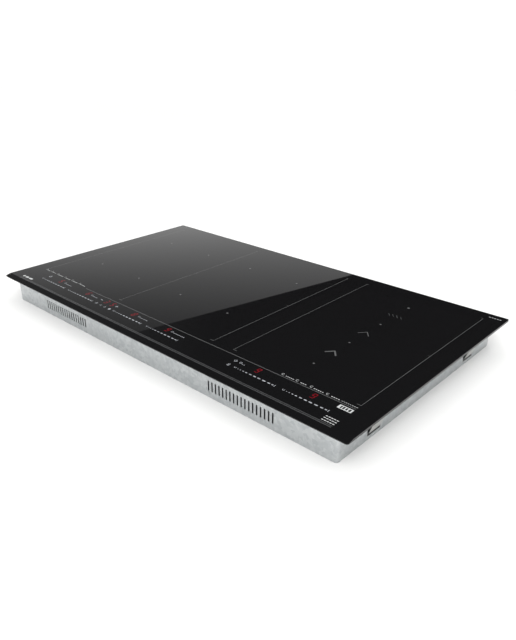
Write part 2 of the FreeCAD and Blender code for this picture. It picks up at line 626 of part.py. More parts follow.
def blower(side, sign):
    """The fan's shell, wheel and shaft, on the module's axis."""
    x = f"{sign} * {MODULE_X}"
    shell = block(f"shell_block_{side}", "fan_size", "fan_size", "fan_thick", x, FAN_Y, TRAY_TOP)
    room = fuse(
        f"air_room_{side}",
        [
            rod(f"scroll_{side}", "fan_bore", "fan_thick - 2 * fan_wall", x, FAN_Y, f"{TRAY_TOP} + fan_wall"),
            block(f"outlet_{side}", "outlet_width", "fan_size", "fan_thick - 2 * fan_wall",
                  x, f"{FAN_Y} + fan_size / 2", f"{TRAY_TOP} + fan_wall"),
            rod(f"intake_{side}", "fan_intake", "2 * fan_wall", x, FAN_Y, f"{TRAY_TOP} - fan_wall"),
        ],
    )
    hollow = cut(f"shell_hollow_{side}", shell, [room])
    boss = rod(f"shaft_boss_{side}", "boss_radius", f"{BOSS_LENGTH} + fan_wall / 2", x, FAN_Y,
               f"{FAN_TOP} - fan_wall - {BOSS_LENGTH}")
    holes = [
        rod(f"shaft_bore_{side}", "shaft_radius + shaft_play", "fan_thick", x, FAN_Y,
            f"{FAN_TOP} - fan_thick / 2")
    ]
    reach = "(fan_size / 2 - 3 * screw_radius)"
    for i, j in FAN_CORNERS:
        holes.append(
            rod(f"fan_hole_{side}_{i + 2}{j + 2}", "screw_hole", "2 * screw_length",
                f"{x} + {i} * {reach}", f"{FAN_Y} + {j} * {reach}", f"{FAN_TOP} - 1.5 * screw_length")
        )
    cut(f"fan_housing_{side}", fuse(f"shell_with_boss_{side}", [hollow, boss]), holes)

    disc = rod(f"wheel_disc_{side}", "wheel_radius - fan_wall", "fan_wall", z="wheel_height - fan_wall")
    hub = rod(f"wheel_hub_{side}", "hub_radius", "wheel_height")
    blade = block(f"blade_{side}", "wheel_radius / 3", "fan_wall", "wheel_height", "wheel_radius * 5 / 6")
    blades = [
        copy(f"blade_{side}_{i + 1}", blade, turn=Rotation(Vector(0, 0, 1), 360 * i / BLADES))
        for i in range(BLADES)
    ]
    bore = rod(f"hub_bore_{side}", "shaft_radius", "3 * wheel_height", z="-wheel_height")
    wheel = fuse(f"wheel_{side}", [disc, hub] + blades)
    put(cut(f"fan_impeller_{side}", wheel, [bore]), x, FAN_Y, WHEEL_BOTTOM)
    rod(f"fan_shaft_{side}", "shaft_radius", "fan_thick - wheel_lift", x, FAN_Y, WHEEL_BOTTOM)
    return [
        copy(f"fan_screw_{side}_{i + 2}{j + 2}", screw, f"{x} + {i} * {reach}", f"{FAN_Y} + {j} * {reach}",
             FAN_TOP)
        for i, j in FAN_CORNERS
    ]


group("fan_screws", blower("left", -1) + blower("right", 1))

# ---------------------------------------------------------------- coils

# Each carrier is an aluminium plate that its springs press towards the glass, with a ferrite layer,
# a plastic former and a flat winding for each coil, and one mica sheet over them all.
FLEX_COIL = (
    f"(({FLEX_WIDTH} - 2 * flex_edge - 3 * coil_gap) / 4)",
    f"(({ZONE_DEPTH} - 2 * flex_edge - flex_row_gap) / 2)",
)
SLIDE_COIL = ("(slide_zone_width - 2 * slide_edge)", f"(({ZONE_DEPTH} - 2 * slide_edge - 3 * coil_gap) / 4)")
FLEX_PLACES = [
    (f"{FLEX_X} + ({column} - 1.5) * ({FLEX_COIL[0]} + coil_gap)",
     f"{ZONE_Y} + ({row} - 0.5) * ({FLEX_COIL[1]} + flex_row_gap)")
    for row in range(2)
    for column in range(4)
]
SLIDE_PLACES = [(SLIDE_X, f"{ZONE_Y} + ({row} - 1.5) * ({SLIDE_COIL[1]} + coil_gap)") for row in range(4)]


def coil_set(zone, centre_x, width, coil, wall, places, bars):
    """Carrier, ferrites, formers, windings, sensors, mica sheet and springs of one cooking zone."""
    carrier_depth = f"{ZONE_DEPTH} - 2 * carrier_edge"
    slab(f"coil_carrier_{zone}", (f"{width} - 2 * carrier_edge", carrier_depth, "coil_gap"),
         "carrier_thick", centre_x, ZONE_Y, CARRIER_BOTTOM)
    slab(f"mica_sheet_{zone}", (f"{width} - 2 * carrier_edge", carrier_depth, "coil_gap"),
         "mica_thick", centre_x, ZONE_Y, COIL_TOP)
    formers, ferrites, sensors, springs = [], [], [], []
    for i, (x, y) in enumerate(places, start=1):
        hole = (f"{coil[0]} - 2 * {wall}", f"{coil[1]} - 2 * {wall}", "coil_eye_corner")
        slab(f"{zone}_coil_{i}", (*coil, "coil_corner"), "coil_thick", x, y, COIL_BOTTOM, hole=hole)
        formers.append(
            slab(f"{zone}_former_{i}",
                 (f"{coil[0]} - 2 * former_edge", f"{coil[1]} - 2 * former_edge", "coil_corner"),
                 "former_thick", x, y, FERRITE_TOP)
        )
        sensors.append(rod(f"{zone}_sensor_{i}", "sensor_radius", "coil_thick", x, y, COIL_BOTTOM))
        for column in range(bars[0]):
            for row in range(bars[1]):
                ferrites.append(
                    block(
                        f"{zone}_ferrite_{i}_{column + 1}{row + 1}",
                        f"{coil[0]} / {bars[0]} - ferrite_gap", "ferrite_wide", "ferrite_thick",
                        f"{x} + ({column} - {bars[0] - 1} / 2) * {coil[0]} / {bars[0]}",
                        f"{y} + ({row} - {bars[1] - 1} / 2) * {coil[1]} / {bars[1]}", CARRIER_TOP,
                    )
                )
    for i, (x, y) in enumerate(POSTS[zone], start=1):
        helix = doc.addObject("Part::Helix", f"{zone}_spring_line_{i}")
        bind(helix, Radius="spring_radius", Height="spring_length - 2 * spring_wire",
             Pitch="(spring_length - 2 * spring_wire) / spring_turns")
        wire = doc.addObject("Part::Circle", f"{zone}_spring_section_{i}")
        bind(wire, Radius="spring_wire")
        put(wire, "spring_radius", turn=ALONG["-Y"])
        spring = doc.addObject("Part::Sweep", f"{zone}_spring_{i}")
        spring.Sections = [wire]
        spring.Spine = (helix, ["Edge1"])
        spring.Solid = True
        spring.Frenet = True
        springs.append(put(spring, x, y, f"{POST_TOP} + spring_wire"))
    group(f"coil_formers_{zone}", formers)
    group(f"ferrite_bars_{zone}", ferrites)
    group(f"temperature_sensors_{zone}", sensors)
    group(f"carrier_springs_{zone}", springs)


coil_set("flex", FLEX_X, FLEX_WIDTH, FLEX_COIL, "flex_coil_wall", FLEX_PLACES, (2, 3))
coil_set("slide", SLIDE_X, "slide_zone_width", SLIDE_COIL, "slide_coil_wall", SLIDE_PLACES, (4, 2))

# ---------------------------------------------------------------- touch panel

# A long tray on legs holds the touch board close under the glass behind the front edge.
PANEL_WIDTH = "(glass_width - 2 * zone_side_margin)"
PANEL_OUTLINE = (PANEL_WIDTH, "panel_depth", "glass_corner")
PANEL_INNER = (f"{PANEL_WIDTH} - 2 * panel_wall", "panel_depth - 2 * panel_wall", "glass_corner - panel_wall")
LEGS = 5
panel_pieces = [
    slab("panel_floor", PANEL_OUTLINE, "panel_wall", y=PANEL_Y, z=PANEL_FLOOR),
    slab("panel_rim_wall", PANEL_OUTLINE, "panel_wall + panel_rim", y=PANEL_Y, z=PANEL_FLOOR,
         hole=PANEL_INNER),
]
for i in range(LEGS):
    for j, way in enumerate((-1, 1), start=1):
        x = f"({i} / {LEGS - 1} - 0.5) * ({PANEL_WIDTH} - panel_edge)"
        y = f"{PANEL_Y} + {way} * panel_depth / 3"
        panel_pieces.append(
            block(f"panel_leg_{i + 1}{j}", "panel_leg", "panel_leg",
                  f"{PANEL_FLOOR} - {FLOOR} + panel_wall", x, y, FLOOR)
        )
        panel_pieces.append(
            block(f"board_rest_{i + 1}{j}", "panel_leg", "rest_depth",
                  f"{TOUCH_BOTTOM} - {PANEL_FLOOR}", x, y, PANEL_FLOOR)
        )
fuse("touch_board_tray", panel_pieces)
slab(
    "touch_board",
    (f"{PANEL_INNER[0]} - 2 * touch_play", f"{PANEL_INNER[1]} - 2 * touch_play",
     "glass_corner - 2 * panel_wall"),
    "board_thick",
    y=PANEL_Y,
    z=TOUCH_BOTTOM,
)

# Seven-segment display blocks and conductive foam pads under the sliders and keys.
FLEX_PAIR = [f"({FLEX_X} + {share} * {FLEX_WIDTH})" for share in (-0.25, 0.25)]
SLIDERS = [f"{zone} + {way} * slider_pitch / 2" for zone in FLEX_PAIR + [SLIDE_X] for way in (-1, 1)]
DISPLAY_HEIGHT = f"tape_thick - display_air - {TOUCH_TOP}"
group(
    "display_units",
    [
        block(f"display_{i}", "display_width", "display_depth", DISPLAY_HEIGHT, x,
              "display_line - glass_depth / 2", TOUCH_TOP)
        for i, x in enumerate(SLIDERS + [FLEX_X], start=1)
    ],
)
group(
    "touch_contacts",
    [
        block(f"touch_pad_{i}_{j + 1}", "pad_size", "pad_size", f"tape_thick - {TOUCH_TOP}",
              f"{x} + ({j} - 2) * pad_pitch", "slider_line - glass_depth / 2", TOUCH_TOP)
        for i, x in enumerate(SLIDERS, start=1)
        for j in range(5)
    ],
)

# Flat cable from the touch board over the tray's rim and down to the left power board.
RIBBON_X = f"(board_width / 2 - ribbon_width / 2 - {MODULE_X} - board_width + 2 * ribbon_width)"
RIBBON_BACK = f"({PANEL_Y} + panel_depth / 2)"
BOARD_FRONT = f"({BOARD_Y} - board_depth / 2)"
fuse(
    "control_ribbon",
    [
        block("ribbon_top", "ribbon_width", "ribbon_lap + 2 * ribbon_thick", "ribbon_thick", RIBBON_X,
              f"{RIBBON_BACK} - ribbon_lap / 2 + ribbon_thick", TOUCH_TOP),
        block("ribbon_drop", "ribbon_width", "ribbon_thick", f"{TOUCH_TOP} - {BOARD_TOP} + ribbon_thick",
              RIBBON_X, f"{RIBBON_BACK} + 1.5 * ribbon_thick", BOARD_TOP),
        block("ribbon_run", "ribbon_width", f"{BOARD_FRONT} - {RIBBON_BACK} + ribbon_lap - ribbon_thick",
              "ribbon_thick", RIBBON_X, f"({BOARD_FRONT} + {RIBBON_BACK} + ribbon_lap + ribbon_thick) / 2",
              BOARD_TOP),
    ],
)

# ---------------------------------------------------------------- mains connection

# Terminal block inside the rear wall, reached through a window with a hinged cover.
BLOCK_Y = f"({INNER_DEPTH} / 2 - block_back - block_depth / 2)"
BLOCK_TOP = f"({FLOOR} + block_height)"
TERMINALS = 5
wire_pitch = f"block_width / {TERMINALS}"
wire_ways = slots("wire_way", TERMINALS, "wire_way", "2 * block_depth", "wire_way", TERMINAL_X, BLOCK_Y,
                  f"{FLOOR} + wire_way_level", "X", wire_pitch)
screw_wells = [
    rod(f"screw_well_{i + 1}", "clamp_well", "block_height", f"{TERMINAL_X} + ({i} - 2) * {wire_pitch}",
        BLOCK_Y, f"{BLOCK_TOP} - clamp_depth")
    for i in range(TERMINALS)
]
cut(
    "terminal_block",
    block("terminal_body", "block_width", "block_depth", "block_height", TERMINAL_X, BLOCK_Y, FLOOR),
    [fuse("terminal_ways", wire_ways + screw_wells)],
)
group(
    "terminal_screws",
    [
        rod(f"terminal_screw_{i + 1}", "clamp_screw", "clamp_height",
            f"{TERMINAL_X} + ({i} - 2) * {wire_pitch}", BLOCK_Y, f"{BLOCK_TOP} - clamp_depth")
        for i in range(TERMINALS)
    ],
)

# Moulded bezel round the window; its two ears hold the cover's pins.
bezel = block("bezel_plate", "window_width + 2 * bezel_wall", "bezel_thick", f"{WINDOW_TALL} + bezel_wall",
              TERMINAL_X, f"{REAR} + bezel_thick / 2", f"{WINDOW_Z} - bezel_wall / 2")
ears = [
    block(f"bezel_ear_{i}", "ear_thick", "bezel_thick + ear_reach", "ear_height",
          f"{TERMINAL_X} + {way} * (window_width / 2 + ear_gap + ear_thick / 2)",
          f"{REAR} + (bezel_thick + ear_reach) / 2", f"{HINGE_Z} - ear_height / 2")
    for i, way in enumerate((-1, 1), start=1)
]
lower_lip = block("bezel_lip", "window_width + 2 * bezel_wall", "bezel_thick", "ear_height",
                  TERMINAL_X, f"{REAR} + bezel_thick / 2", f"{HINGE_Z} - ear_height / 2")
bezel_holes = [
    block("bezel_window", "window_width - 2 * window_lip", "4 * bezel_thick",
          f"{WINDOW_TALL} - 2 * window_lip", TERMINAL_X, REAR, f"{WINDOW_Z} + window_lip"),
    rod("hinge_bore", "hinge_pin + hinge_play", "2 * window_width", f"{TERMINAL_X} - window_width",
        HINGE_Y, HINGE_Z, "+X"),
]
cut("terminal_bezel", fuse("bezel_moulding", [bezel, lower_lip] + ears), bezel_holes)

# Hinged cover: a shallow cap that ends in a round barrel on the hinge's axis.
COVER_WIDTH = "(window_width - 2 * ear_gap)"
cap = block("cover_cap", COVER_WIDTH, "cover_depth", COVER_RISE, TERMINAL_X, HINGE_Y, HINGE_Z)
cap_room = block("cover_room", f"{COVER_WIDTH} - 2 * cover_wall", "cover_depth",
                 f"{COVER_RISE} - cover_wall - cover_depth / 2 - cover_relief", TERMINAL_X,
                 f"{HINGE_Y} - cover_wall", f"cover_depth / 2 + cover_relief + {HINGE_Z}")
barrel = rod("cover_barrel", "cover_depth / 2", COVER_WIDTH, f"{TERMINAL_X} - {COVER_WIDTH} / 2", HINGE_Y,
             HINGE_Z, "+X")
pin = rod("cover_pin", "hinge_pin", "window_width + 2 * ear_thick",
          f"{TERMINAL_X} - window_width / 2 - ear_thick", HINGE_Y, HINGE_Z, "+X")
grip = block("cover_grip", "window_width / 5", "grip_thick", "grip_height", TERMINAL_X,
             f"{HINGE_Y} + (cover_depth + grip_thick) / 2", f"{COVER_RISE} - grip_drop + {HINGE_Z}")
fuse("terminal_cover", [cut("cover_shell", cap, [cap_room]), barrel, pin, grip])

# Rubber grommet for the supply lead, beside the window.
INLET_BACK = f"({REAR} + inlet_outside)"
INLET_LENGTH = "(inlet_outside + sheet_thick + inlet_inside)"
grommet = fuse(
    "grommet_blank",
    [
        rod("grommet_outer", "inlet_flange", "inlet_outside", INLET_X, REAR, "-inlet_level", "+Y"),
        rod("grommet_neck", "inlet_neck - inlet_play", INLET_LENGTH, INLET_X,
            f"{INLET_BACK} - {INLET_LENGTH}", "-inlet_level", "+Y"),
        rod("grommet_inner", "inlet_flange", "inlet_inside", INLET_X, f"{INLET_BACK} - {INLET_LENGTH}",
            "-inlet_level", "+Y"),
    ],
)
cut(
    "cable_inlet_grommet",
    grommet,
    [rod("grommet_bore", "inlet_bore", f"2 * {INLET_LENGTH}", INLET_X, f"{REAR} - {INLET_LENGTH}",
         "-inlet_level", "+Y")],
)

# Sleeved mains leads, from the terminal block along the rear strip to the filter board's connector.
LEAD_LEVEL = number(f"{BOARD_TOP} + connector_height / 2")
start = Vector(number(f"{TERMINAL_X} - block_width / 2"), number(BLOCK_Y), LEAD_LEVEL)
turn_at = Vector(0, start.y, LEAD_LEVEL)
end = Vector(0, number(f"{CONNECTOR_Y} + connector_depth / 2"), LEAD_LEVEL)
lead_bend = number("lead_bend")
before = turn_at + Vector(lead_bend, 0, 0)
after = turn_at - Vector(0, lead_bend, 0)
middle = turn_at + Vector(1, -1, 0) * (lead_bend * (1 - math.sqrt(0.5)))
route = Part.Wire(
    [
        Part.LineSegment(start, before).toShape(),
        Part.Arc(before, middle, after).toShape(),
        Part.LineSegment(after, end).toShape(),
    ]
)
section = Part.Wire(Part.makeCircle(number("lead_radius"), start, Vector(-1, 0, 0)))
harness = doc.addObject("Part::Feature", "mains_harness")
harness.Shape = route.makePipeShell([section], True, False)

# ---------------------------------------------------------------- the named pieces

NODES = [
    "glass_ceramic_top", "edge_seal_tape", "support_frame", "housing_tray", "housing_screws",
    "electronics_tray", "power_board_left", "power_board_right", "heat_sink_left", "heat_sink_right",
    "power_components_left", "power_components_right", "filter_board", "filter_components",
    "fan_housing_left", "fan_housing_right", "fan_impeller_left", "fan_impeller_right",
    "fan_shaft_left", "fan_shaft_right", "fan_screws", "touch_board_tray", "touch_board",
    "display_units", "touch_contacts", "control_ribbon", "terminal_block", "terminal_screws",
    "terminal_bezel", "terminal_cover", "cable_inlet_grommet", "mains_harness",
]
for zone, coils in (("flex", len(FLEX_PLACES)), ("slide", len(SLIDE_PLACES))):
    NODES += [f"{zone}_coil_{i + 1}" for i in range(coils)]
    NODES += [
        f"{piece}_{zone}"
        for piece in (
            "coil_carrier", "coil_formers", "ferrite_bars", "mica_sheet", "temperature_sensors",
            "carrier_springs",
        )
    ]
NODES += [f"worktop_clip_{end}_{side}" for side, *_ in CLIP_SIDES for end, _ in CLIP_ENDS]

doc.recompute()
for piece in doc.Objects:
    if {"Invalid", "Error"} & set(piece.State):
        raise SystemExit(f"{piece.Name} failed: {piece.State}")
for name in NODES:
    shape = doc.getObject(name).Shape
    if shape.isNull() or not shape.isValid() or shape.Volume <= 0:
        raise SystemExit(f"{name} has no valid shape")
    doc.getObject(name).Label = name
    shape.exportStep(f"parts/{name}.step")
    print(f"{name}: {len(shape.Solids)} solids, {shape.Volume / 1000:.2f} cm3")
print(len(NODES), "nodes")
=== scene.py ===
"""Built-in induction hob: the finishes and the fine pieces round the fixed frame, in metres.

+X is to the right and +Y to the back of the hob, +Z is up, and the origin is the middle of the
worktop plane. The sections follow the hob as it is put together, from the plate down to the coils.
"""

import bmesh
import bpy
import math
import numpy as np
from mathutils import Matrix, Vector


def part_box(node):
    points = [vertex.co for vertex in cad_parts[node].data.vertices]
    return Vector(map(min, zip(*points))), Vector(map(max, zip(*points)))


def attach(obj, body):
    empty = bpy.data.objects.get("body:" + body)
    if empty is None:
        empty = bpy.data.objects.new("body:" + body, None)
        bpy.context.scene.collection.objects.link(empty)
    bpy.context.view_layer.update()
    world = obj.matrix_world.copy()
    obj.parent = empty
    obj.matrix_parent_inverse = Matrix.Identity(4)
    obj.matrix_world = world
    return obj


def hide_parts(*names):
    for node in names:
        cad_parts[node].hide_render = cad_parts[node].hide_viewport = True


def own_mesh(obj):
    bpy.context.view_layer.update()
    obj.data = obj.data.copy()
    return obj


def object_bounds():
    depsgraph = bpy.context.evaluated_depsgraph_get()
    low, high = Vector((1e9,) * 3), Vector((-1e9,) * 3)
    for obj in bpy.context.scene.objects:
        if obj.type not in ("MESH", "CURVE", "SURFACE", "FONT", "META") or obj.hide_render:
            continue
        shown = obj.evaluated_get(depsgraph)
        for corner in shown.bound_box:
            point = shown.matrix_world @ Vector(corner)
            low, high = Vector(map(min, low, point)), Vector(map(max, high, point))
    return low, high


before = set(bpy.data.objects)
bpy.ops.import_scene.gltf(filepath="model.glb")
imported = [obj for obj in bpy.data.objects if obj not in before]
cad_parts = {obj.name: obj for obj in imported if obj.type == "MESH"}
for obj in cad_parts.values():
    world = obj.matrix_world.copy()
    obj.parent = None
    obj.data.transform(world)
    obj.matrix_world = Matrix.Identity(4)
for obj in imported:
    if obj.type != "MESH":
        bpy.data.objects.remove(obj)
cad_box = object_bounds()
scene = bpy.context.scene
MM = 0.001

# ---------------------------------------------------------------- camera
# A person standing at the hob's front right corner looks down across the plate. The lens is a
# 35 mm one on a full-frame body, held level from side to side.

CAMERA_PLACE = (0.8065, -0.8143, 0.4837)
CAMERA_TURN = 42.52
CAMERA_DIP = 24.96
LENS = 34.9

camera = bpy.data.objects.new("camera", bpy.data.cameras.new("camera"))
scene.collection.objects.link(camera)
camera.data.lens = LENS
camera.data.sensor_width = 36
camera.location = CAMERA_PLACE
camera.rotation_euler = (math.radians(90 - CAMERA_DIP), 0, math.radians(CAMERA_TURN))
scene.camera = camera

# ---------------------------------------------------------------- studio
# A pale floor under a white dome. A polished plate shows what it faces, so mirror rays see a dark
# room with a bright skyline and dim side walls, and two soft cards whose slanted edges cross the plate.


def linear(shade):
    """Linear RGBA of an sRGB hex colour: c / 12.92 up to 0.04045, ((c + 0.055) / 1.055) ^ 2.4 above it."""
    parts = [int(shade[i:i + 2], 16) / 255 for i in (1, 3, 5)]
    return [c / 12.92 if c <= 0.04045 else ((c + 0.055) / 1.055) ** 2.4 for c in parts] + [1.0]


def add(tree, kind, inputs=None, **settings):
    """Adds a shader node with its settings, each input being a value or another node's output."""
    node = tree.nodes.new("ShaderNode" + kind)
    for name, value in settings.items():
        setattr(node, name, value)
    for name, value in (inputs or {}).items():
        if isinstance(value, bpy.types.NodeSocket):
            tree.links.new(value, node.inputs[name])
        else:
            node.inputs[name].default_value = value
    return node


def mesh_piece(name, points, faces, material=None):
    """A mesh object at the origin, its points given in metres."""
    mesh = bpy.data.meshes.new(name)
    mesh.from_pydata(np.asarray(points, float).tolist(), [], [list(map(int, f)) for f in faces])
    mesh.update()
    piece = bpy.data.objects.new(name, mesh)
    scene.collection.objects.link(piece)
    if material:
        mesh.materials.append(material)
    return piece


DOME = 1.15
ROOM = 0.009
SKYLINE, SKYLINE_FOOT, SKYLINE_END = 0.75, 0.07, 0.22
SIDE_WALLS, SIDE_START, SIDE_FULL = 0.1, 0.66, 0.88
scene.view_settings.view_transform = "Standard"

world = bpy.data.worlds.new("studio")
scene.world = world
world.use_nodes = True
world.cycles.sampling_method = "NONE"
tree = world.node_tree
tree.nodes.clear()
way = add(tree, "SeparateXYZ", {"Vector": add(tree, "TexCoord").outputs["Generated"]})
skyline = add(tree, "ValToRGB", {"Fac": way.outputs["Z"]})
skyline.color_ramp.elements[0].position = SKYLINE_FOOT
skyline.color_ramp.elements[0].color = [SKYLINE] * 3 + [1]
skyline.color_ramp.elements[1].position = SKYLINE_END
skyline.color_ramp.elements[1].color = [ROOM] * 3 + [1]
sideways = add(tree, "Math", {0: way.outputs["X"]}, operation="ABSOLUTE")
side_walls = add(tree, "MapRange", {"Value": sideways.outputs[0], "From Min": SIDE_START,
                                    "From Max": SIDE_FULL, "To Max": SIDE_WALLS})
room = add(tree, "VectorMath", {0: skyline.outputs["Color"], 1: side_walls.outputs[0]}, operation="ADD")
mirror_room = add(tree, "Background", {"Color": room.outputs[0]})
white_dome = add(tree, "Background", {"Color": (1, 1, 1, 1), "Strength": DOME})
ray = add(tree, "LightPath")
soft_ray = add(tree, "Math", {0: ray.outputs["Is Camera Ray"], 1: ray.outputs["Is Diffuse Ray"]},
               operation="MAXIMUM")
mixed = add(tree, "MixShader", {0: soft_ray.outputs[0], 1: mirror_room.outputs[0],
                                2: white_dome.outputs[0]})
add(tree, "OutputWorld", {"Surface": mixed.outputs[0]})

FLOOR_HALF = 6.0
FLOOR_GAP = 0.1 * MM
floor_level = cad_box[0].z - FLOOR_GAP
floor_paint = bpy.data.materials.new("white_matt_paint")
floor_paint.use_nodes = True
paint = floor_paint.node_tree.nodes["Principled BSDF"]
paint.inputs["Base Color"].default_value = linear("#f6f6f5")
paint.inputs["Roughness"].default_value = 0.9
paint.inputs["Specular IOR Level"].default_value = 0.1
corners = [(-1, -1), (1, -1), (1, 1), (-1, 1)]
floor = mesh_piece("floor", [(x * FLOOR_HALF, y * FLOOR_HALF, floor_level) for x, y in corners],
                   [(0, 1, 2, 3)], floor_paint)

# The card's slanted edge lies in the plane through the mirrored camera and the edge seen on the plate.
GLASS_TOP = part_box("glass_ceramic_top")[1].z
EDGE_FRONT = (-0.010, -0.242)
EDGE_BACK = (0.107, 0.255)
CARD_Y = 1.2
CARD_LOW, CARD_HIGH = 0.30, 1.50
CARD_LEFT_LOW, CARD_LEFT_HIGH = -2.6, -4.8
CARD_GLOW, FADE_ALONG, FADE_UP = 0.075, -0.629, -2.717

mirrored_eye = np.array([CAMERA_PLACE[0], CAMERA_PLACE[1], 2 * GLASS_TOP - CAMERA_PLACE[2]])
slant = np.cross(np.array([*EDGE_FRONT, GLASS_TOP]) - mirrored_eye,
                 np.array([*EDGE_BACK, GLASS_TOP]) - mirrored_eye)


def card_edge(level):
    """X of the slanted edge at a level: where the slant plane cuts the card's plane, from its equation."""
    off = slant[1] * (CARD_Y - mirrored_eye[1]) + slant[2] * (level - mirrored_eye[2])
    return mirrored_eye[0] - off / slant[0]


card_paint = bpy.data.materials.new("lit_card")
card_paint.use_nodes = True
tree = card_paint.node_tree
tree.nodes.clear()
spot = add(tree, "VectorMath", {0: add(tree, "TexCoord").outputs["Object"], 1: (FADE_ALONG, 0, FADE_UP)},
           operation="DOT_PRODUCT")
fade = add(tree, "Math", {0: spot.outputs["Value"], 1: CARD_GLOW}, operation="ADD")
strength = add(tree, "Math", {0: fade.outputs[0]}, operation="EXPONENT")
shine = add(tree, "Emission", {"Strength": strength.outputs[0]})
add(tree, "OutputMaterial", {"Surface": shine.outputs[0]})
for name, turn in (("card_back", 0), ("card_front", math.pi)):
    outline = [(card_edge(CARD_LOW), CARD_LOW), (card_edge(CARD_HIGH), CARD_HIGH),
               (CARD_LEFT_HIGH, CARD_HIGH), (CARD_LEFT_LOW, CARD_LOW)]
    card = mesh_piece(name, [(x, CARD_Y, z) for x, z in outline], [(0, 1, 2, 3)], card_paint)
    card.rotation_euler.z = turn
    card.visible_camera = False
    card.visible_shadow = False

# One soft lamp shapes the steel and the plastics without reaching the plate's mirror directions.
LAMP_PLACE = (1.5, -1.9, 2.3)
LAMP_SIZE, LAMP_WATTS = 1.4, 38
lamp = bpy.data.lights.new("key_lamp", "AREA")
lamp.size = LAMP_SIZE
lamp.energy = LAMP_WATTS
holder = bpy.data.objects.new("key_lamp", lamp)
scene.collection.objects.link(holder)
holder.location = LAMP_PLACE
holder.rotation_euler = (math.atan2(math.hypot(*LAMP_PLACE[:2]), LAMP_PLACE[2]), 0,
                         math.atan2(LAMP_PLACE[0], -LAMP_PLACE[1]))
holder.visible_camera = False

# ---------------------------------------------------------------- glass-ceramic plate
# One sheet of black glass-ceramic, 4 mm thick, with a broad ground bevel along the front edge and
# a fine ground arris all round. It lies on the seal tape and carries all the print.


def new_finish(name):
    """A material of that name: (material, node tree, Object coordinates, its one Principled shader)."""
    material = bpy.data.materials.new(name)
    material.use_nodes = True
    tree = material.node_tree
    return material, tree, add(tree, "TexCoord").outputs["Object"], tree.nodes["Principled BSDF"]


def set_inputs(shader, **values):
    """Sets the shader's own sockets, named with underscores for spaces."""
    for name, value in values.items():
        shader.inputs[name.replace("_", " ")].default_value = value


BEVEL_RUN, BEVEL_DROP = 12.5 * MM, 3 * MM
PLATE_CORNER = 4 * MM
ARRIS = 0.35 * MM
EDGE_STEPS, EDGE_ANGLE = 2, math.radians(40)
CORNER_STEPS = 12

low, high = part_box("glass_ceramic_top")


def rounded_outline(low, high, radius, steps):
    """Anticlockwise points of a rectangle, each corner a quarter circle: centre + radius (cos t, sin t)."""
    turn = np.linspace(0, math.pi / 2, steps)
    corners = [(high[0], high[1]), (low[0], high[1]), (low[0], low[1]), (high[0], low[1])]
    parts = []
    for quarter, (x, y) in enumerate(corners):
        angle = turn + quarter * math.pi / 2
        centre = (x + (-radius if quarter in (0, 3) else radius), y + (-radius if quarter < 2 else radius))
        parts.append(np.stack([centre[0] + radius * np.cos(angle), centre[1] + radius * np.sin(angle)], 1))
    return np.vstack(parts)


outline = rounded_outline(low, high, PLATE_CORNER, CORNER_STEPS)
fold = low.y + BEVEL_RUN
split = 2 * CORNER_STEPS
outline = np.vstack([outline[:split], [[low.x, fold]], outline[split:], [[high.x, fold]]])
count = len(outline)
top = high.z - BEVEL_DROP * np.clip((fold - outline[:, 1]) / BEVEL_RUN, 0, 1)
points = np.vstack([np.column_stack([outline, np.full(count, low.z)]), np.column_stack([outline, top])])
ring = np.arange(count)
after = (ring + 1) % count
walls = np.stack([ring, after, count + after, count + ring], 1).tolist()
left_fold, right_fold = split, count - 1
flat_part = [count + right_fold] + [count + i for i in range(left_fold + 1)]
bevel_part = [count + i for i in range(left_fold, right_fold + 1)]
plate = mesh_piece("glass_plate", points, walls + [flat_part, bevel_part, ring[::-1].tolist()])
arris = plate.modifiers.new("arris", "BEVEL")
arris.width = ARRIS
arris.segments = EDGE_STEPS
arris.limit_method = "ANGLE"
arris.angle_limit = EDGE_ANGLE

glass_ceramic, tree, place, shader = new_finish("black_glass_ceramic_polished")
# Polished black glass-ceramic: a deep neutral black under a mirror gloss. A haze in patches 70 mm
# across and the faint waviness of drawn glass, 90 mm from crest to crest, keep it from looking flat.
set_inputs(shader, Base_Color=linear("#131314"), IOR=1.53)
HAZE_PER_METRE, WAVES_PER_METRE = 14.0, 11.0
haze = add(tree, "TexNoise", {"Vector": place, "Scale": HAZE_PER_METRE, "Detail": 4.0})
gloss = add(tree, "MapRange", {"Value": haze.outputs["Fac"], "To Min": 0.0, "To Max": 0.03})
tree.links.new(gloss.outputs[0], shader.inputs["Roughness"])
wave = add(tree, "TexNoise", {"Vector": place, "Scale": WAVES_PER_METRE, "Detail": 0.0})
ripple = add(tree, "Bump", {"Height": wave.outputs["Fac"], "Strength": 0.03, "Distance": 0.2 * MM})
tree.links.new(ripple.outputs[0], shader.inputs["Normal"])
plate.data.materials.append(glass_ceramic)
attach(plate, "root")
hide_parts("glass_ceramic_top")

# ---------------------------------------------------------------- zone print
# The cooking zones are marked in grey ceramic ink, fired onto the plate: long border lines with
# short feet, a dot over each coil, and arrows and steam marks on the slide zone. All the print is
# set out in millimetres.

INK_ROOT, INK_FILM = 0.01 * MM, 0.03 * MM
INK_LOW, INK_HIGH = high.z - INK_ROOT, high.z + INK_FILM


def levels(outline):
    """The outline, in millimetres, at the ink's lower and upper level, in metres."""
    flat = np.asarray(outline, float) * MM
    return np.vstack([np.column_stack([flat, np.full(len(flat), z)]) for z in (INK_LOW, INK_HIGH)])


def patch(outline):
    """A closed flat patch: the anticlockwise outline at two levels, and a wall between them."""
    n = len(outline)
    ring = np.arange(n)
    after = (ring + 1) % n
    walls = np.stack([ring, after, n + after, n + ring], 1).tolist()
    return levels(outline), walls + [(n + ring).tolist(), ring[::-1].tolist()]


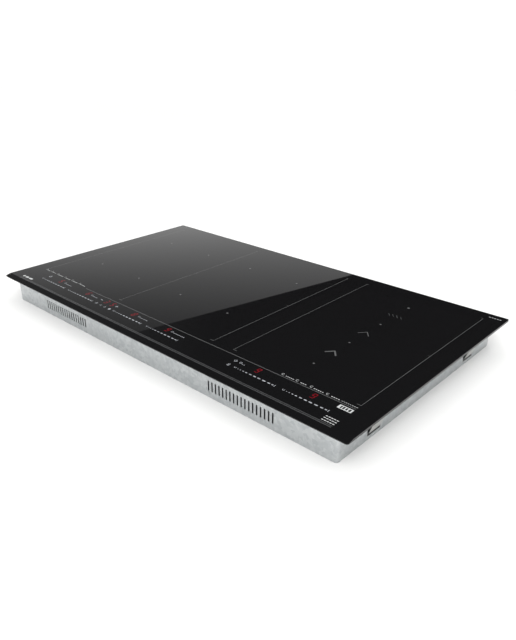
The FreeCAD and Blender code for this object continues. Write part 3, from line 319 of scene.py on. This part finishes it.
def stroke(path, width, closed=False):
    """A flat bar carried along a path: both edges lie half a width aside, on the mitre between the runs."""
    path = np.asarray(path, float)
    ahead = np.roll(path, -1, 0) - path
    behind = path - np.roll(path, 1, 0)
    if not closed:
        ahead[-1], behind[0] = behind[-1], ahead[0]
    ahead /= np.linalg.norm(ahead, axis=1)[:, None]
    behind /= np.linalg.norm(behind, axis=1)[:, None]
    along = ahead + behind
    along /= np.linalg.norm(along, axis=1)[:, None]
    reach = width / 2 / np.sum(along * ahead, 1)[:, None]
    side = np.column_stack([-along[:, 1], along[:, 0]]) * reach
    if not closed:
        return patch(np.vstack([path - side, (path + side)[::-1]]))
    n = len(path)
    points = np.vstack([levels(path + side), levels(path - side)])
    a = np.arange(n)
    b = (a + 1) % n
    rings = [(n, 3 * n), (3 * n, 2 * n), (2 * n, 0), (0, n)]
    return points, np.vstack([np.stack([i + a, j + a, j + b, i + b], 1) for i, j in rings]).tolist()


def arc(x, y, radius, start, stop, steps=16):
    """Points on a circle from one angle to another, in degrees."""
    angle = np.radians(np.linspace(start, stop, steps))
    return np.column_stack([x + radius * np.cos(angle), y + radius * np.sin(angle)])


def dot(x, y, radius):
    """A round patch."""
    return patch(arc(x, y, radius, 0, 345, 24))


def pill(left, right, y, thick):
    """A bar with round ends: two half circles joined."""
    r = thick / 2
    return patch(np.vstack([arc(right - r, y, r, -90, 90, 8), arc(left + r, y, r, 90, 270, 8)]))


def bar(left, right, front, back):
    """A square-ended bar."""
    return patch([(left, front), (right, front), (right, back), (left, back)])


def printed(name, marks, material):
    """One piece out of many closed marks, riding with the plate."""
    points, faces, base = [], [], 0
    for mark_points, mark_faces in marks:
        points.append(mark_points)
        faces += [[base + i for i in face] for face in mark_faces]
        base += len(mark_points)
    piece = mesh_piece(name, np.vstack(points), faces, material)
    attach(piece, "root")


FRIT_GRAIN = 0.5 * MM


def fired_ink(name, low, high, rough, index):
    """Ceramic ink fired into the glass: its satin frit drifts between two shades, one grain to the next."""
    ink, tree, place, shader = new_finish(name)
    set_inputs(shader, Roughness=rough, IOR=index)
    frit = add(tree, "TexNoise", {"Vector": place, "Scale": 1 / FRIT_GRAIN, "Detail": 2.0})
    shade = add(tree, "ValToRGB", {"Fac": frit.outputs["Fac"]})
    shade.color_ramp.elements[0].color = linear(low)
    shade.color_ramp.elements[1].color = linear(high)
    tree.links.new(shade.outputs["Color"], shader.inputs["Base Color"])
    return ink


# Grey ceramic ink, rich in glass: it stays dark and catches the light as a fine satin line.
grey_ink = fired_ink("fired_ceramic_ink_grey", "#535454", "#6d6e6e", 0.2, 1.75)

LINE = 0.75
ZONE_FRONT, ZONE_BACK, ZONE_MIDDLE = -170, 226, 28
BORDERS = {-413: (0, 7), -150: (-4, 5), 113: (-7, 0), 161: (0, 7), 413: (-7, 0)}
TICK = 3.5
COIL_X, COIL_Y = (-350, -217, -83, 50), (130, -74)
SLIDE_X = 288
SLIDE_DOTS = ((175, 2.6), (77, 1.8), (-20, 1.8), (-118, 1.8))
ARROW_WIDE, ARROW_TALL = 11, 13
ARROW_LINE_BACK, ARROW_LINE_FRONT = 1.3, 2.7
ARROW_FRONT = -68
COIL_DOT = 2.0
STEAM_Y, STEAM_TALL, STEAM_SWAY, STEAM_LINE = 126, 4, 0.7, 0.5
STEAM_SHIFTS = (-12.6, -4.2, 4.2, 12.6)

marks = []
half = LINE / 2
for x, (left_foot, right_foot) in BORDERS.items():
    marks.append(bar(x - half, x + half, ZONE_FRONT, ZONE_BACK))
    marks.append(bar(x + left_foot - half, x + right_foot + half, ZONE_FRONT - LINE, ZONE_FRONT))
    left_tick = TICK if left_foot else 0
    right_tick = TICK if right_foot else 0
    for y in (ZONE_MIDDLE, ZONE_BACK):
        marks.append(bar(x - left_tick - half, x + right_tick + half, y - half, y + half))
marks += [dot(x, y, COIL_DOT) for x in COIL_X for y in COIL_Y]
marks += [dot(SLIDE_X, y, r) for y, r in SLIDE_DOTS]
arrow = np.array([(-ARROW_WIDE, -ARROW_TALL / 2), (0, ARROW_TALL / 2), (ARROW_WIDE, -ARROW_TALL / 2)])
marks.append(stroke(arrow + (SLIDE_X, ZONE_MIDDLE), ARROW_LINE_BACK))
marks.append(stroke(arrow + (SLIDE_X, ARROW_FRONT), ARROW_LINE_FRONT))
rise = np.linspace(-STEAM_TALL, STEAM_TALL, 13)
sway = STEAM_SWAY * np.sin(rise / STEAM_TALL * math.pi) - rise
for shift in STEAM_SHIFTS:
    marks.append(stroke(np.column_stack([SLIDE_X + shift + sway, STEAM_Y + rise]), STEAM_LINE))
printed("zone_print", marks, grey_ink)

# ---------------------------------------------------------------- control print
# The control strip is printed along the front edge: a double border line, a thin line behind the
# controls and, in white ink, plain marks and rows of short pills in place of captions.

# White ink, dense enough to hide the glass: a bright satin mark.
white_ink = fired_ink("fired_ceramic_ink_white", "#b4b6b6", "#cfd1d1", 0.3, 1.5)
# Charcoal ink of the border band: close to the glass in tone, seen as a soft double line.
band_ink = fired_ink("fired_ceramic_ink_charcoal", "#3e3f40", "#505152", 0.25, 1.5)

BAND_FRONT, BAND_BACK = -242.3, -237.5
BAND_LEFT, BAND_RIGHT = -412, 413
BAND_FRONT_STRIP, BAND_BACK_STRIP = 1.7, 1.5
CONTROL_LINE, CONTROL_HALF, CONTROL_LEFT = -183, 0.55, -250
strips = [bar(BAND_LEFT, BAND_RIGHT, BAND_FRONT, BAND_FRONT + BAND_FRONT_STRIP),
          bar(BAND_LEFT, BAND_RIGHT, BAND_BACK - BAND_BACK_STRIP, BAND_BACK)]
printed("border_band", strips, band_ink)
line = bar(CONTROL_LEFT, BAND_RIGHT, CONTROL_LINE - CONTROL_HALF, CONTROL_LINE + CONTROL_HALF)
printed("control_line", [line], grey_ink)


def caption(left, right, y, thick=1.7, word=2.6, gap=1.1):
    """A row of short pills in place of a caption: their length is drawn out so that they fill the row."""
    number = max(1, round((right - left + gap) / (word + gap)))
    step = (right - left + gap) / number
    return [pill(left + i * step, left + (i + 1) * step - gap, y, thick) for i in range(number)]


LEFT_CAPTIONS = ((-413, -396), (-392, -374), (-369, -344), (-340, -317), (-313, -290), (-286, -262))
RIGHT_CAPTIONS = ((281, 297, 1.5), (310, 321, 1.5), (335, 353, 1.5), (367, 382, 1.5), (385, 413, 0.8))
RIGHT_ICONS = (275, 303, 330, 360)
ICON_LINE = 0.6
MAKER_LINE, MAKER_THICK = -231, 5.4
MAKER_WORDS, MAKER_DOT = ((-405, -393), (-391, -378)), (-411, 3.2)
LEFT_ROW, RIGHT_ROW, LEFT_ICON_ROW, RIGHT_ICON_ROW = -178.3, -178.5, -176.4, -177
PLAQUE_LEFT, PLAQUE_RIGHT = 389.5, 413
PLAQUE_FRONT, PLAQUE_BACK = (-196.5, -194.9), (-188.6, -187)
PLAQUE_BARS = ((389.5, 393), (395.5, 397), (400, 402), (405, 407), (410.5, 413))
NOTE_LEFT, NOTE_RIGHT, NOTE_LINES = 391, 413, (-223.4, -228.6, -234)
CORNER_LEFT, CORNER_RIGHT, CORNER_ROW = 418, 441, 240

marks = []
for left, right in LEFT_CAPTIONS:
    marks.append(stroke(arc(left + 2.4, LEFT_ICON_ROW, 2.0, 30, 300), ICON_LINE))
    marks += caption(left + 6, right, LEFT_ROW)
for left, right, thick in RIGHT_CAPTIONS:
    marks += caption(left, right, RIGHT_ROW, thick)
for x in RIGHT_ICONS:
    marks.append(stroke(arc(x, RIGHT_ICON_ROW, 2.3, 60, 330), ICON_LINE))
marks.append(dot(MAKER_DOT[0], MAKER_LINE, MAKER_DOT[1]))
marks += [pill(left, right, MAKER_LINE, MAKER_THICK) for left, right in MAKER_WORDS]
marks += [bar(PLAQUE_LEFT, PLAQUE_RIGHT, *PLAQUE_FRONT), bar(PLAQUE_LEFT, PLAQUE_RIGHT, *PLAQUE_BACK)]
marks += [bar(left, right, PLAQUE_FRONT[1], PLAQUE_BACK[0]) for left, right in PLAQUE_BARS]
for y in NOTE_LINES:
    marks += caption(NOTE_LEFT, NOTE_RIGHT, y, thick=1.6, word=3.6, gap=0.9)
marks += caption(CORNER_LEFT, CORNER_RIGHT, CORNER_ROW, thick=1.9, word=3.2, gap=1.7)
printed("caption_print", marks, white_ink)

# ---------------------------------------------------------------- lit symbols
# White diodes on the touch board, soldered under each symbol, light the slider scales and the key
# symbols through the plate.

DIODE_GLASS_ROUGH = 0.05
NOISE_LOW, NOISE_HIGH = 0.3, 0.7


def diode_light(name, glass, light, weakest, strongest, spots_per_metre):
    """A symbol lit from under the plate: glossy glass that glows unevenly from diode to diode."""
    glow, tree, place, shader = new_finish(name)
    set_inputs(shader, Base_Color=linear(glass), Roughness=DIODE_GLASS_ROUGH, IOR=1.53,
               Emission_Color=linear(light))
    spots = add(tree, "TexNoise", {"Vector": place, "Scale": spots_per_metre, "Detail": 0.0})
    power = add(tree, "MapRange", {"Value": spots.outputs["Fac"], "From Min": NOISE_LOW,
                                   "From Max": NOISE_HIGH, "To Min": weakest, "To Max": strongest})
    tree.links.new(power.outputs[0], shader.inputs["Emission Strength"])
    return glow


# White diode light through dark glass: cold white, a little uneven every 9 mm.
white_glow = diode_light("white_diode_light", "#2a2b2c", "#f4f8ff", 0.42, 0.62, 110.0)


def key_ring(x, y, radius, width, opening=0):
    """A ring, or with an opening at the back an arc, as on a standby mark."""
    if opening:
        return stroke(arc(x, y, radius, 90 + opening, 450 - opening), width)
    return stroke(arc(x, y, radius, 0, 337, 20), width, closed=True)


SLIDER_LINE = -212
SLIDERS = (-370, -271, -118, -18, 203, 302)
SCALE = (9, 14, 20, 26.5, 35, 44, 53, 63, 73, 80.5)
DASH_GAP = 3.4
DASH_FIRST, DASH_LAST = 1.6, 2.3
END_LEFT, END_RIGHT, END_TALL = 84.4, 85.4, 2.6

marks = []
for start in SLIDERS:
    marks.append(key_ring(start + 2.5, SLIDER_LINE + 1, 1.8, 0.7, 50))
    for spot, pitch, wide in zip(SCALE, np.gradient(SCALE), np.linspace(DASH_FIRST, DASH_LAST, len(SCALE))):
        half = (pitch - DASH_GAP) / 2
        marks.append(pill(start + spot - half, start + spot + half, SLIDER_LINE, wide))
    marks.append(bar(start + END_LEFT, start + END_RIGHT, SLIDER_LINE - END_TALL, SLIDER_LINE + END_TALL))
printed("slider_lights", marks, white_glow)

# Round the sliders lie the keys' own symbols: rings, bars and rows of short pills.
KEY_LINE = -195.5
RINGS = ((-365, KEY_LINE, 3.0, 0.9, 40), (-171, SLIDER_LINE, 2.4, 0.6, 0),
         (-143, SLIDER_LINE, 2.2, 0.5, 0), (191, KEY_LINE, 2.6, 0.7, 40),
         (191, SLIDER_LINE + 1.5, 1.7, 0.6, 0), (202, KEY_LINE + 0.5, 2.2, 0.6, 0))
KEY_BARS = ((-365.5, -364.5, 0, 4.2), (-128.1, -126.9, 0.6, 3.4), (-128.1, -126.9, -3.4, -0.6),
            (190.6, 191.4, 0, 3.6))
SLIDER_BARS = ((-171.4, -170.6, 0, 1.9), (-158.2, -157.5, -2.6, 2.6), (-155.6, -154.9, -2.6, 2.6),
               (188.8, 193.2, -2.8, -1.4))
KEY_CAPTIONS = ((-310, -283), (-213, -190), (-62, -33), (32, 68))

marks = [key_ring(*ring) for ring in RINGS]
marks += [bar(left, right, KEY_LINE + front, KEY_LINE + back) for left, right, front, back in KEY_BARS]
marks += [bar(left, right, SLIDER_LINE + front, SLIDER_LINE + back)
          for left, right, front, back in SLIDER_BARS]
marks += [pill(-180, -173, KEY_LINE, 1.1), pill(-131, -124, KEY_LINE, 1.2), dot(-128.5, SLIDER_LINE, 2.9)]
marks += caption(206, 212, KEY_LINE - 1.5, 1.0)
for left, right in KEY_CAPTIONS:
    marks.append(key_ring(left + 3, KEY_LINE + 0.5, 2.0, 0.5))
    marks += caption(left + 7, right, KEY_LINE - 1.5, 1.2)
printed("key_lights", marks, white_glow)

# ---------------------------------------------------------------- digits
# Red seven-segment displays, moulded units soldered to the touch board, show the power levels
# through the plate: one figure by each slider and two for the timer.

# Red diode light through dark glass: saturated, a little uneven every 6 mm.
red_glow = diode_light("red_diode_light", "#1c0c0e", "#ff2038", 0.22, 0.32, 160.0)

DIGIT_LINE = -195
DIGIT_TALL, DIGIT_WIDE, SEGMENT = 12.2, 5.8, 1.2
DIGIT_LEAN, SEGMENT_GAP = 0.12, 0.2
DIGITS = {-322: "5", -222: "6", -160: "3", -140: "5", -73: "8", 23: "9", 239: "9", 348: "9"}
LIT = {"3": "abgcd", "5": "afgcd", "6": "afgecd", "8": "abcdefg", "9": "abfgcd"}


def segment(start, stop):
    """A hexagon along a run: its ends are pointed and its sides lie half a segment width out."""
    start, stop = np.asarray(start, float), np.asarray(stop, float)
    along = (stop - start) / np.linalg.norm(stop - start) * SEGMENT / 2
    side = np.array([-along[1], along[0]])
    start, stop = start + along * SEGMENT_GAP, stop - along * SEGMENT_GAP
    return np.array([start, start + along - side, stop - along - side,
                     stop, stop - along + side, start + along + side])


def digit(x, value):
    """A leaning seven-segment figure: the segments a to g lie on the edges of two stacked squares."""
    wide, tall = DIGIT_WIDE / 2, DIGIT_TALL / 2
    runs = {"a": ((-wide, tall), (wide, tall)), "b": ((wide, 0), (wide, tall)),
            "c": ((wide, -tall), (wide, 0)), "d": ((-wide, -tall), (wide, -tall)),
            "e": ((-wide, -tall), (-wide, 0)), "f": ((-wide, 0), (-wide, tall)), "g": ((-wide, 0), (wide, 0))}
    made = []
    for key in LIT[value]:
        shape = segment(*runs[key])
        shape[:, 0] += shape[:, 1] * DIGIT_LEAN + x
        shape[:, 1] += DIGIT_LINE
        made.append(patch(shape))
    return made


marks = [mark for x, value in DIGITS.items() for mark in digit(x, value)]
printed("level_digits", marks, red_glow)

# ---------------------------------------------------------------- plate bedding
# The plate lies on a black foam tape, and the folded frame that the housing hangs from is glued
# under it.


def dress(material, *names):
    """Gives CAD nodes this finish."""
    for name in names:
        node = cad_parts[name]
        if not node.material_slots:
            node.data.materials.append(material)
        for slot in node.material_slots:
            slot.material = material


WELD = 0.001 * MM
FLAT_ANGLE = math.radians(2)


def finished_copy(name, body, material, edge_width=0.0):
    """A merged copy of a CAD node, in its place and riding with its body. With a width, the flat faces are
    joined and the edges between them rounded over."""
    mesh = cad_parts[name].data.copy()
    mesh.materials.clear()
    mesh.materials.append(material)
    work = bmesh.new()
    work.from_mesh(mesh)
    bmesh.ops.remove_doubles(work, verts=work.verts, dist=WELD)
    if edge_width:
        bmesh.ops.dissolve_limit(work, angle_limit=FLAT_ANGLE, verts=work.verts, edges=work.edges)
    work.to_mesh(mesh)
    work.free()
    piece = bpy.data.objects.new(name + "_finished", mesh)
    scene.collection.objects.link(piece)
    if edge_width:
        edge = piece.modifiers.new("edge", "BEVEL")
        edge.width = edge_width
        edge.segments = EDGE_STEPS
        edge.limit_method = "ANGLE"
        edge.angle_limit = EDGE_ANGLE
    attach(piece, body)
    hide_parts(name)
    return piece


SHEEN_DRIFT = 0.08


def speckled(name, low, high, size, rough, metallic=0.0, bump=0.0, stretch=(1, 1, 1)):
    """A finish whose colour drifts between two shades over patches of that size in metres, with a relief of
    the same grain where bump, in metres, is given."""
    material, tree, place, shader = new_finish(name)
    set_inputs(shader, Metallic=metallic)
    where = add(tree, "Mapping", {"Vector": place, "Scale": stretch}).outputs[0]
    drift = add(tree, "TexNoise", {"Vector": where, "Scale": 1 / size, "Detail": 5.0})
    shade = add(tree, "ValToRGB", {"Fac": drift.outputs["Fac"]})
    shade.color_ramp.elements[0].position = NOISE_LOW
    shade.color_ramp.elements[0].color = linear(low)
    shade.color_ramp.elements[1].position = NOISE_HIGH
    shade.color_ramp.elements[1].color = linear(high)
    tree.links.new(shade.outputs["Color"], shader.inputs["Base Color"])
    sheen = add(tree, "MapRange", {"Value": drift.outputs["Fac"], "To Min": rough - SHEEN_DRIFT,
                                   "To Max": rough + SHEEN_DRIFT})
    tree.links.new(sheen.outputs[0], shader.inputs["Roughness"])
    if bump:
        relief = add(tree, "Bump", {"Height": drift.outputs["Fac"], "Strength": 0.6, "Distance": bump})
        tree.links.new(relief.outputs[0], shader.inputs["Normal"])
    return material


# Closed-cell polyethylene foam, black: matt, with cells of about 0.6 mm.
dress(speckled("black_closed_cell_foam", "#141414", "#262627", 0.6 * MM, 0.9, bump=0.1 * MM),
      "edge_seal_tape")

# Galvanised strip, folded and spot welded.
steel_strip = speckled("galvanised_strip", "#a3a6a8", "#bcbfc1", 9 * MM, 0.38, metallic=1.0)
dress(steel_strip, "support_frame")

# ---------------------------------------------------------------- housing
# The housing is pressed from 0.8 mm hot-dip galvanised sheet, with vent slots in its walls. Twelve
# zinc-plated pan head screws hold it to the frame.

galvanised, tree, place, shader = new_finish("hot_dip_galvanised_sheet")
# Hot-dip galvanising freezes into ragged spangles, about 5 mm across, each a slightly different
# grey and gloss, over a fine grain.
set_inputs(shader, Metallic=1.0)
BENDS_PER_METRE, SPANGLES_PER_METRE, GRAINS_PER_METRE = 260.0, 190.0, 1400.0
SPANGLE_BEND = 3 * MM
bent = add(tree, "TexNoise", {"Vector": place, "Scale": BENDS_PER_METRE, "Detail": 2.0})
offset = add(tree, "VectorMath", {0: bent.outputs["Color"], "Scale": SPANGLE_BEND}, operation="SCALE")
joined = add(tree, "VectorMath", {0: place, 1: offset.outputs[0]}, operation="ADD")
spangle = add(tree, "TexVoronoi", {"Vector": joined.outputs[0], "Scale": SPANGLES_PER_METRE})
tone = add(tree, "SeparateColor", {"Color": spangle.outputs["Color"]})
shade = add(tree, "ValToRGB", {"Fac": tone.outputs[0]})
shade.color_ramp.elements[0].color = linear("#b3b7b9")
shade.color_ramp.elements[1].color = linear("#c6c9ca")
tree.links.new(shade.outputs["Color"], shader.inputs["Base Color"])
sheen = add(tree, "MapRange", {"Value": tone.outputs[1], "To Min": 0.34, "To Max": 0.44})
tree.links.new(sheen.outputs[0], shader.inputs["Roughness"])
fine = add(tree, "TexNoise", {"Vector": place, "Scale": GRAINS_PER_METRE, "Detail": 2.0})
relief = add(tree, "Bump", {"Height": fine.outputs["Fac"], "Strength": 0.25, "Distance": 0.08 * MM})
tree.links.new(relief.outputs[0], shader.inputs["Normal"])
dress(galvanised, "housing_tray")

# Bright zinc plating with a blue passivation, slightly grained.
zinc = speckled("bright_zinc_plating", "#b9c0c7", "#d6dadd", 0.8 * MM, 0.25, metallic=1.0)
dress(zinc, "housing_screws", "fan_screws")

# ---------------------------------------------------------------- worktop clips
# Four spring clips, bent from stainless strip, hook into the housing's sides and press on the edge
# of the worktop's cutout.

# Cold-rolled stainless strip with rolling lines along its length, about 0.4 mm apart.
stainless = speckled("cold_rolled_stainless", "#b4b4b1", "#cfcfcc", 0.4 * MM, 0.28, metallic=1.0,
                     stretch=(1, 1, 0.08))
CLIP_EDGE = 0.15 * MM
for end in ("front", "back"):
    for side in ("left", "right"):
        finished_copy(f"worktop_clip_{end}_{side}", f"clip_{end}_{side}", stainless,
                      CLIP_EDGE)

# ---------------------------------------------------------------- mains connection
# A moulded bezel frames the terminal window in the rear wall, its hinged cover closes it, and a
# rubber grommet leads the supply lead in.

# Glass-filled polyamide, moulded with a spark-eroded texture of 0.7 mm.
black_nylon = speckled("black_polyamide_moulding", "#1b1c1d", "#232425", 0.7 * MM, 0.5, bump=0.03 * MM)
grey_nylon = speckled("grey_polyamide_moulding", "#53575a", "#5e6265", 0.7 * MM, 0.48, bump=0.03 * MM)
MOULDED_EDGE, RUBBER_EDGE = 0.3 * MM, 0.6 * MM
finished_copy("terminal_bezel", "root", black_nylon, MOULDED_EDGE)
finished_copy("terminal_cover", "terminal_cover", grey_nylon, MOULDED_EDGE)
# Vulcanised rubber: matt black with a dusty bloom in patches of 3 mm.
rubber = speckled("vulcanised_rubber", "#131313", "#242424", 3 * MM, 0.75, bump=0.03 * MM)
finished_copy("cable_inlet_grommet", "root", rubber, RUBBER_EDGE)
# Off-white polyamide of the terminal block, with a moulding texture of 1 mm.
dress(speckled("ivory_polyamide", "#cfcabb", "#dcd8cb", 1 * MM, 0.45, bump=0.02 * MM), "terminal_block")
# Turned brass of its clamping screws, slightly dulled in spots of 0.5 mm.
dress(speckled("turned_brass", "#b8924a", "#cfae66", 0.5 * MM, 0.28, metallic=1.0), "terminal_screws")
# Wires in black sleeving, with the sleeve's fine braid.
dress(speckled("black_braided_sleeve", "#161616", "#303030", 0.8 * MM, 0.7, bump=0.1 * MM),
      "mains_harness", "control_ribbon")

# ---------------------------------------------------------------- trays and boards
# Moulded polypropylene trays, one on the housing's floor and one under the controls, carry the
# circuit boards. These are glass-epoxy with a green mask, and two of them carry finned heat sinks.

# Grey talc-filled polypropylene: satin, with a moulding texture of 0.8 mm.
dress(speckled("grey_talc_filled_polypropylene", "#3f4245", "#494c4f", 0.8 * MM, 0.55, bump=0.03 * MM),
      "electronics_tray", "touch_board_tray", "display_units")
board, tree, place, shader = new_finish("green_solder_mask")
# Solder mask over copper tracks: the tracks, 2 mm apart, show as lighter stripes under the mask.
set_inputs(shader, Roughness=0.3, IOR=1.5)
TRACK_UNIT = 10 * MM
tracks = add(tree, "TexBrick", {"Vector": place, "Scale": 1 / TRACK_UNIT, "Mortar Size": 0.03,
                                "Row Height": 0.22, "Brick Width": 1.7, "Color1": linear("#14512f"),
                                "Color2": linear("#185a35"), "Mortar": linear("#0d3d22")})
tree.links.new(tracks.outputs["Color"], shader.inputs["Base Color"])
dress(board, "power_board_left", "power_board_right", "filter_board", "touch_board")
# Black resin and sleeving of the components, duller and glossier in patches of 6 mm.
dress(speckled("black_epoxy_resin", "#17181a", "#2a2c30", 6 * MM, 0.4),
      "power_components_left", "power_components_right", "filter_components")
# Extruded aluminium with drawing lines along the fins, 0.5 mm apart.
aluminium = speckled("extruded_aluminium", "#b6b8ba", "#cfd0d2", 0.5 * MM, 0.32, metallic=1.0,
                     stretch=(1, 0.05, 1))
dress(aluminium, "heat_sink_left", "heat_sink_right")
# Conductive foam pads of the touch keys.
dress(speckled("grey_conductive_foam", "#3a3a3b", "#565657", 0.7 * MM, 0.9, bump=0.1 * MM), "touch_contacts")

# ---------------------------------------------------------------- fans
# Two radial fans stand on the tray over the floor's grilles. Each has a square moulded shell and a
# seventeen-blade wheel on a ground steel shaft.

# Black glass-filled polyester, satin, with a moulding texture of 0.9 mm.
fan_plastic = speckled("black_glass_filled_polyester", "#1a1b1c", "#242526", 0.9 * MM, 0.45, bump=0.02 * MM)
# Ground steel: bright, with grinding lines round the shaft 0.3 mm apart.
ground_steel = speckled("ground_steel", "#9fa1a3", "#c2c4c6", 0.3 * MM, 0.2, metallic=1.0,
                        stretch=(1, 1, 0.1))
for side in ("left", "right"):
    dress(fan_plastic, f"fan_housing_{side}", f"fan_impeller_{side}")
    dress(ground_steel, f"fan_shaft_{side}")

# ---------------------------------------------------------------- coils
# Flat coils of enamelled litz wire lie on moulded formers over ferrite bars, on an aluminium
# carrier. Four springs press each carrier and its mica sheet up against the plate.

litz, tree, place, shader = new_finish("enamelled_litz_wire")
# Enamelled copper strands twisted together under a glossy varnish, one twist every 2.4 mm. The colour is
# painted light: a warm copper highlight along each strand's crown and dark painted shade in the gaps,
# slanting across the wire.
set_inputs(shader, Metallic=0.85, Roughness=0.3, Coat_Weight=0.4, Coat_Roughness=0.15)
along_wire = add(tree, "UVMap", uv_map="wire")
strands = add(tree, "TexWave", {"Vector": along_wire.outputs["UV"], "Scale": 1.0, "Distortion": 0.6},
              wave_type="BANDS", bands_direction="DIAGONAL")
# Painted highlight and shade on the twisted strands: bright copper on the crowns, dark brown in the gaps.
painted_strand_light_and_shade = add(tree, "ValToRGB", {"Fac": strands.outputs["Fac"]})
painted_strand_light_and_shade.color_ramp.elements[0].color = linear("#6b331c")
painted_strand_light_and_shade.color_ramp.elements[1].color = linear("#cf7546")
tree.links.new(painted_strand_light_and_shade.outputs["Color"], shader.inputs["Base Color"])
lay = add(tree, "Bump", {"Height": strands.outputs["Fac"], "Strength": 0.5, "Distance": 0.1 * MM})
tree.links.new(lay.outputs[0], shader.inputs["Normal"])

COIL_CORNER, EYE_CORNER, COIL_CORNER_STEPS = 30 * MM, 11 * MM, 8
WIRE_PITCH = 2.4 * MM
WIRE_FILL = 0.98
WIRE_SIDES = 8
TWIST = 2.4 * MM


def winding(name, body, wall):
    """A flat coil wound inwards from a rounded rectangle. After the share t of the winding its inset is
    wall * t, its corner radius falls from COIL_CORNER to EYE_CORNER, and the wire's section is an ellipse."""
    low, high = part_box(name)
    turns = int(wall / WIRE_PITCH)
    half_wide, half_tall = WIRE_PITCH * WIRE_FILL / 2, (high.z - low.z) / 2
    loops = []
    for turn in range(turns):
        loops.append([rounded_outline((low.x + inset, low.y + inset), (high.x - inset, high.y - inset),
                                      COIL_CORNER + (EYE_CORNER - COIL_CORNER) * inset / wall,
                                      COIL_CORNER_STEPS)
                      for inset in (half_wide + turn * WIRE_PITCH, half_wide + (turn + 1) * WIRE_PITCH)])
    last = loops.pop()[0]
    share = np.linspace(0, 1, len(last), endpoint=False)[:, None]
    path = np.vstack([outer * (1 - share) + inner * share for outer, inner in loops] + [last])
    ahead = np.gradient(path, axis=0)
    ahead /= np.linalg.norm(ahead, axis=1)[:, None]
    angle = np.arange(WIRE_SIDES) / WIRE_SIDES * 2 * math.pi
    side = np.column_stack([ahead[:, 1], -ahead[:, 0]])
    flat = path[:, None] + side[:, None] * (half_wide * np.cos(angle))[None, :, None]
    level = np.broadcast_to((low.z + high.z) / 2 + half_tall * np.sin(angle), flat.shape[:2])
    points = np.dstack([flat, level]).reshape(-1, 3)
    i, j = np.meshgrid(np.arange(len(path) - 1), np.arange(WIRE_SIDES), indexing="ij")
    k = (j + 1) % WIRE_SIDES
    start, stop = i * WIRE_SIDES, (i + 1) * WIRE_SIDES
    quads = np.stack([start + j, start + k, stop + k, stop + j], -1).reshape(-1, 4)
    ends = [list(range(WIRE_SIDES))[::-1], list(range(len(points) - WIRE_SIDES, len(points)))]
    piece = mesh_piece(name + "_winding", points, quads.tolist() + ends, litz)
    run = np.concatenate([[0], np.cumsum(np.linalg.norm(np.diff(path, axis=0), axis=1))]) / TWIST
    round_wire = np.arange(WIRE_SIDES + 1) / WIRE_SIDES
    corners = [(run[i + a], round_wire[j + b]) for a, b in ((0, 0), (0, 1), (1, 1), (1, 0))]
    spots = np.stack([np.stack(corner, -1) for corner in corners], 2).reshape(-1)
    wire = piece.data.uv_layers.new(name="wire")
    wire.data.foreach_set("uv", np.concatenate([spots, np.zeros(4 * WIRE_SIDES)]))
    piece.data.polygons.foreach_set("use_smooth", [True] * len(quads) + [False, False])
    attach(piece, body)
    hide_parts(name)


FLEX_WALL, SLIDE_WALL = 38 * MM, 24 * MM
for i in range(1, 9):
    winding(f"flex_coil_{i}", "flex_carrier", FLEX_WALL)
for i in range(1, 5):
    winding(f"slide_coil_{i}", "slide_carrier", SLIDE_WALL)

# Mill-finish aluminium sheet with broad soft rolling patches of 4 mm.
carrier_sheet = speckled("mill_finish_aluminium", "#b0b2b4", "#c6c8ca", 4 * MM, 0.35, metallic=1.0)
# Uncoloured polyamide: a warm grey, a little uneven, with a texture of 1 mm.
former_plastic = speckled("natural_polyamide_moulding", "#8d8a80", "#a09d92", 1 * MM, 0.5, bump=0.02 * MM)
# Sintered ferrite: charcoal and dense, with a dry grain of 1.2 mm.
ferrite = speckled("sintered_ferrite", "#232325", "#333336", 1.2 * MM, 0.55, bump=0.02 * MM)
# Pressed mica: amber flakes of about 7 mm that catch the light differently.
mica = speckled("phlogopite_mica_sheet", "#7d6a4c", "#a08c69", 7 * MM, 0.4)
# Cast white resin over the temperature sensors, faintly cloudy every 2 mm.
resin = speckled("sensor_potting_resin", "#d8d2c2", "#e6e1d3", 2 * MM, 0.4)
# Drawn spring wire under a film of oil, streaked every 0.5 mm.
spring_wire = speckled("oiled_spring_wire", "#6e7072", "#8d8f91", 0.5 * MM, 0.3, metallic=1.0)

for zone in ("flex", "slide"):
    dress(carrier_sheet, f"coil_carrier_{zone}")
    dress(former_plastic, f"coil_formers_{zone}")
    dress(ferrite, f"ferrite_bars_{zone}")
    dress(mica, f"mica_sheet_{zone}")
    dress(resin, f"temperature_sensors_{zone}")
    springs = finished_copy(f"carrier_springs_{zone}", "root", spring_wire)
    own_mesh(springs)
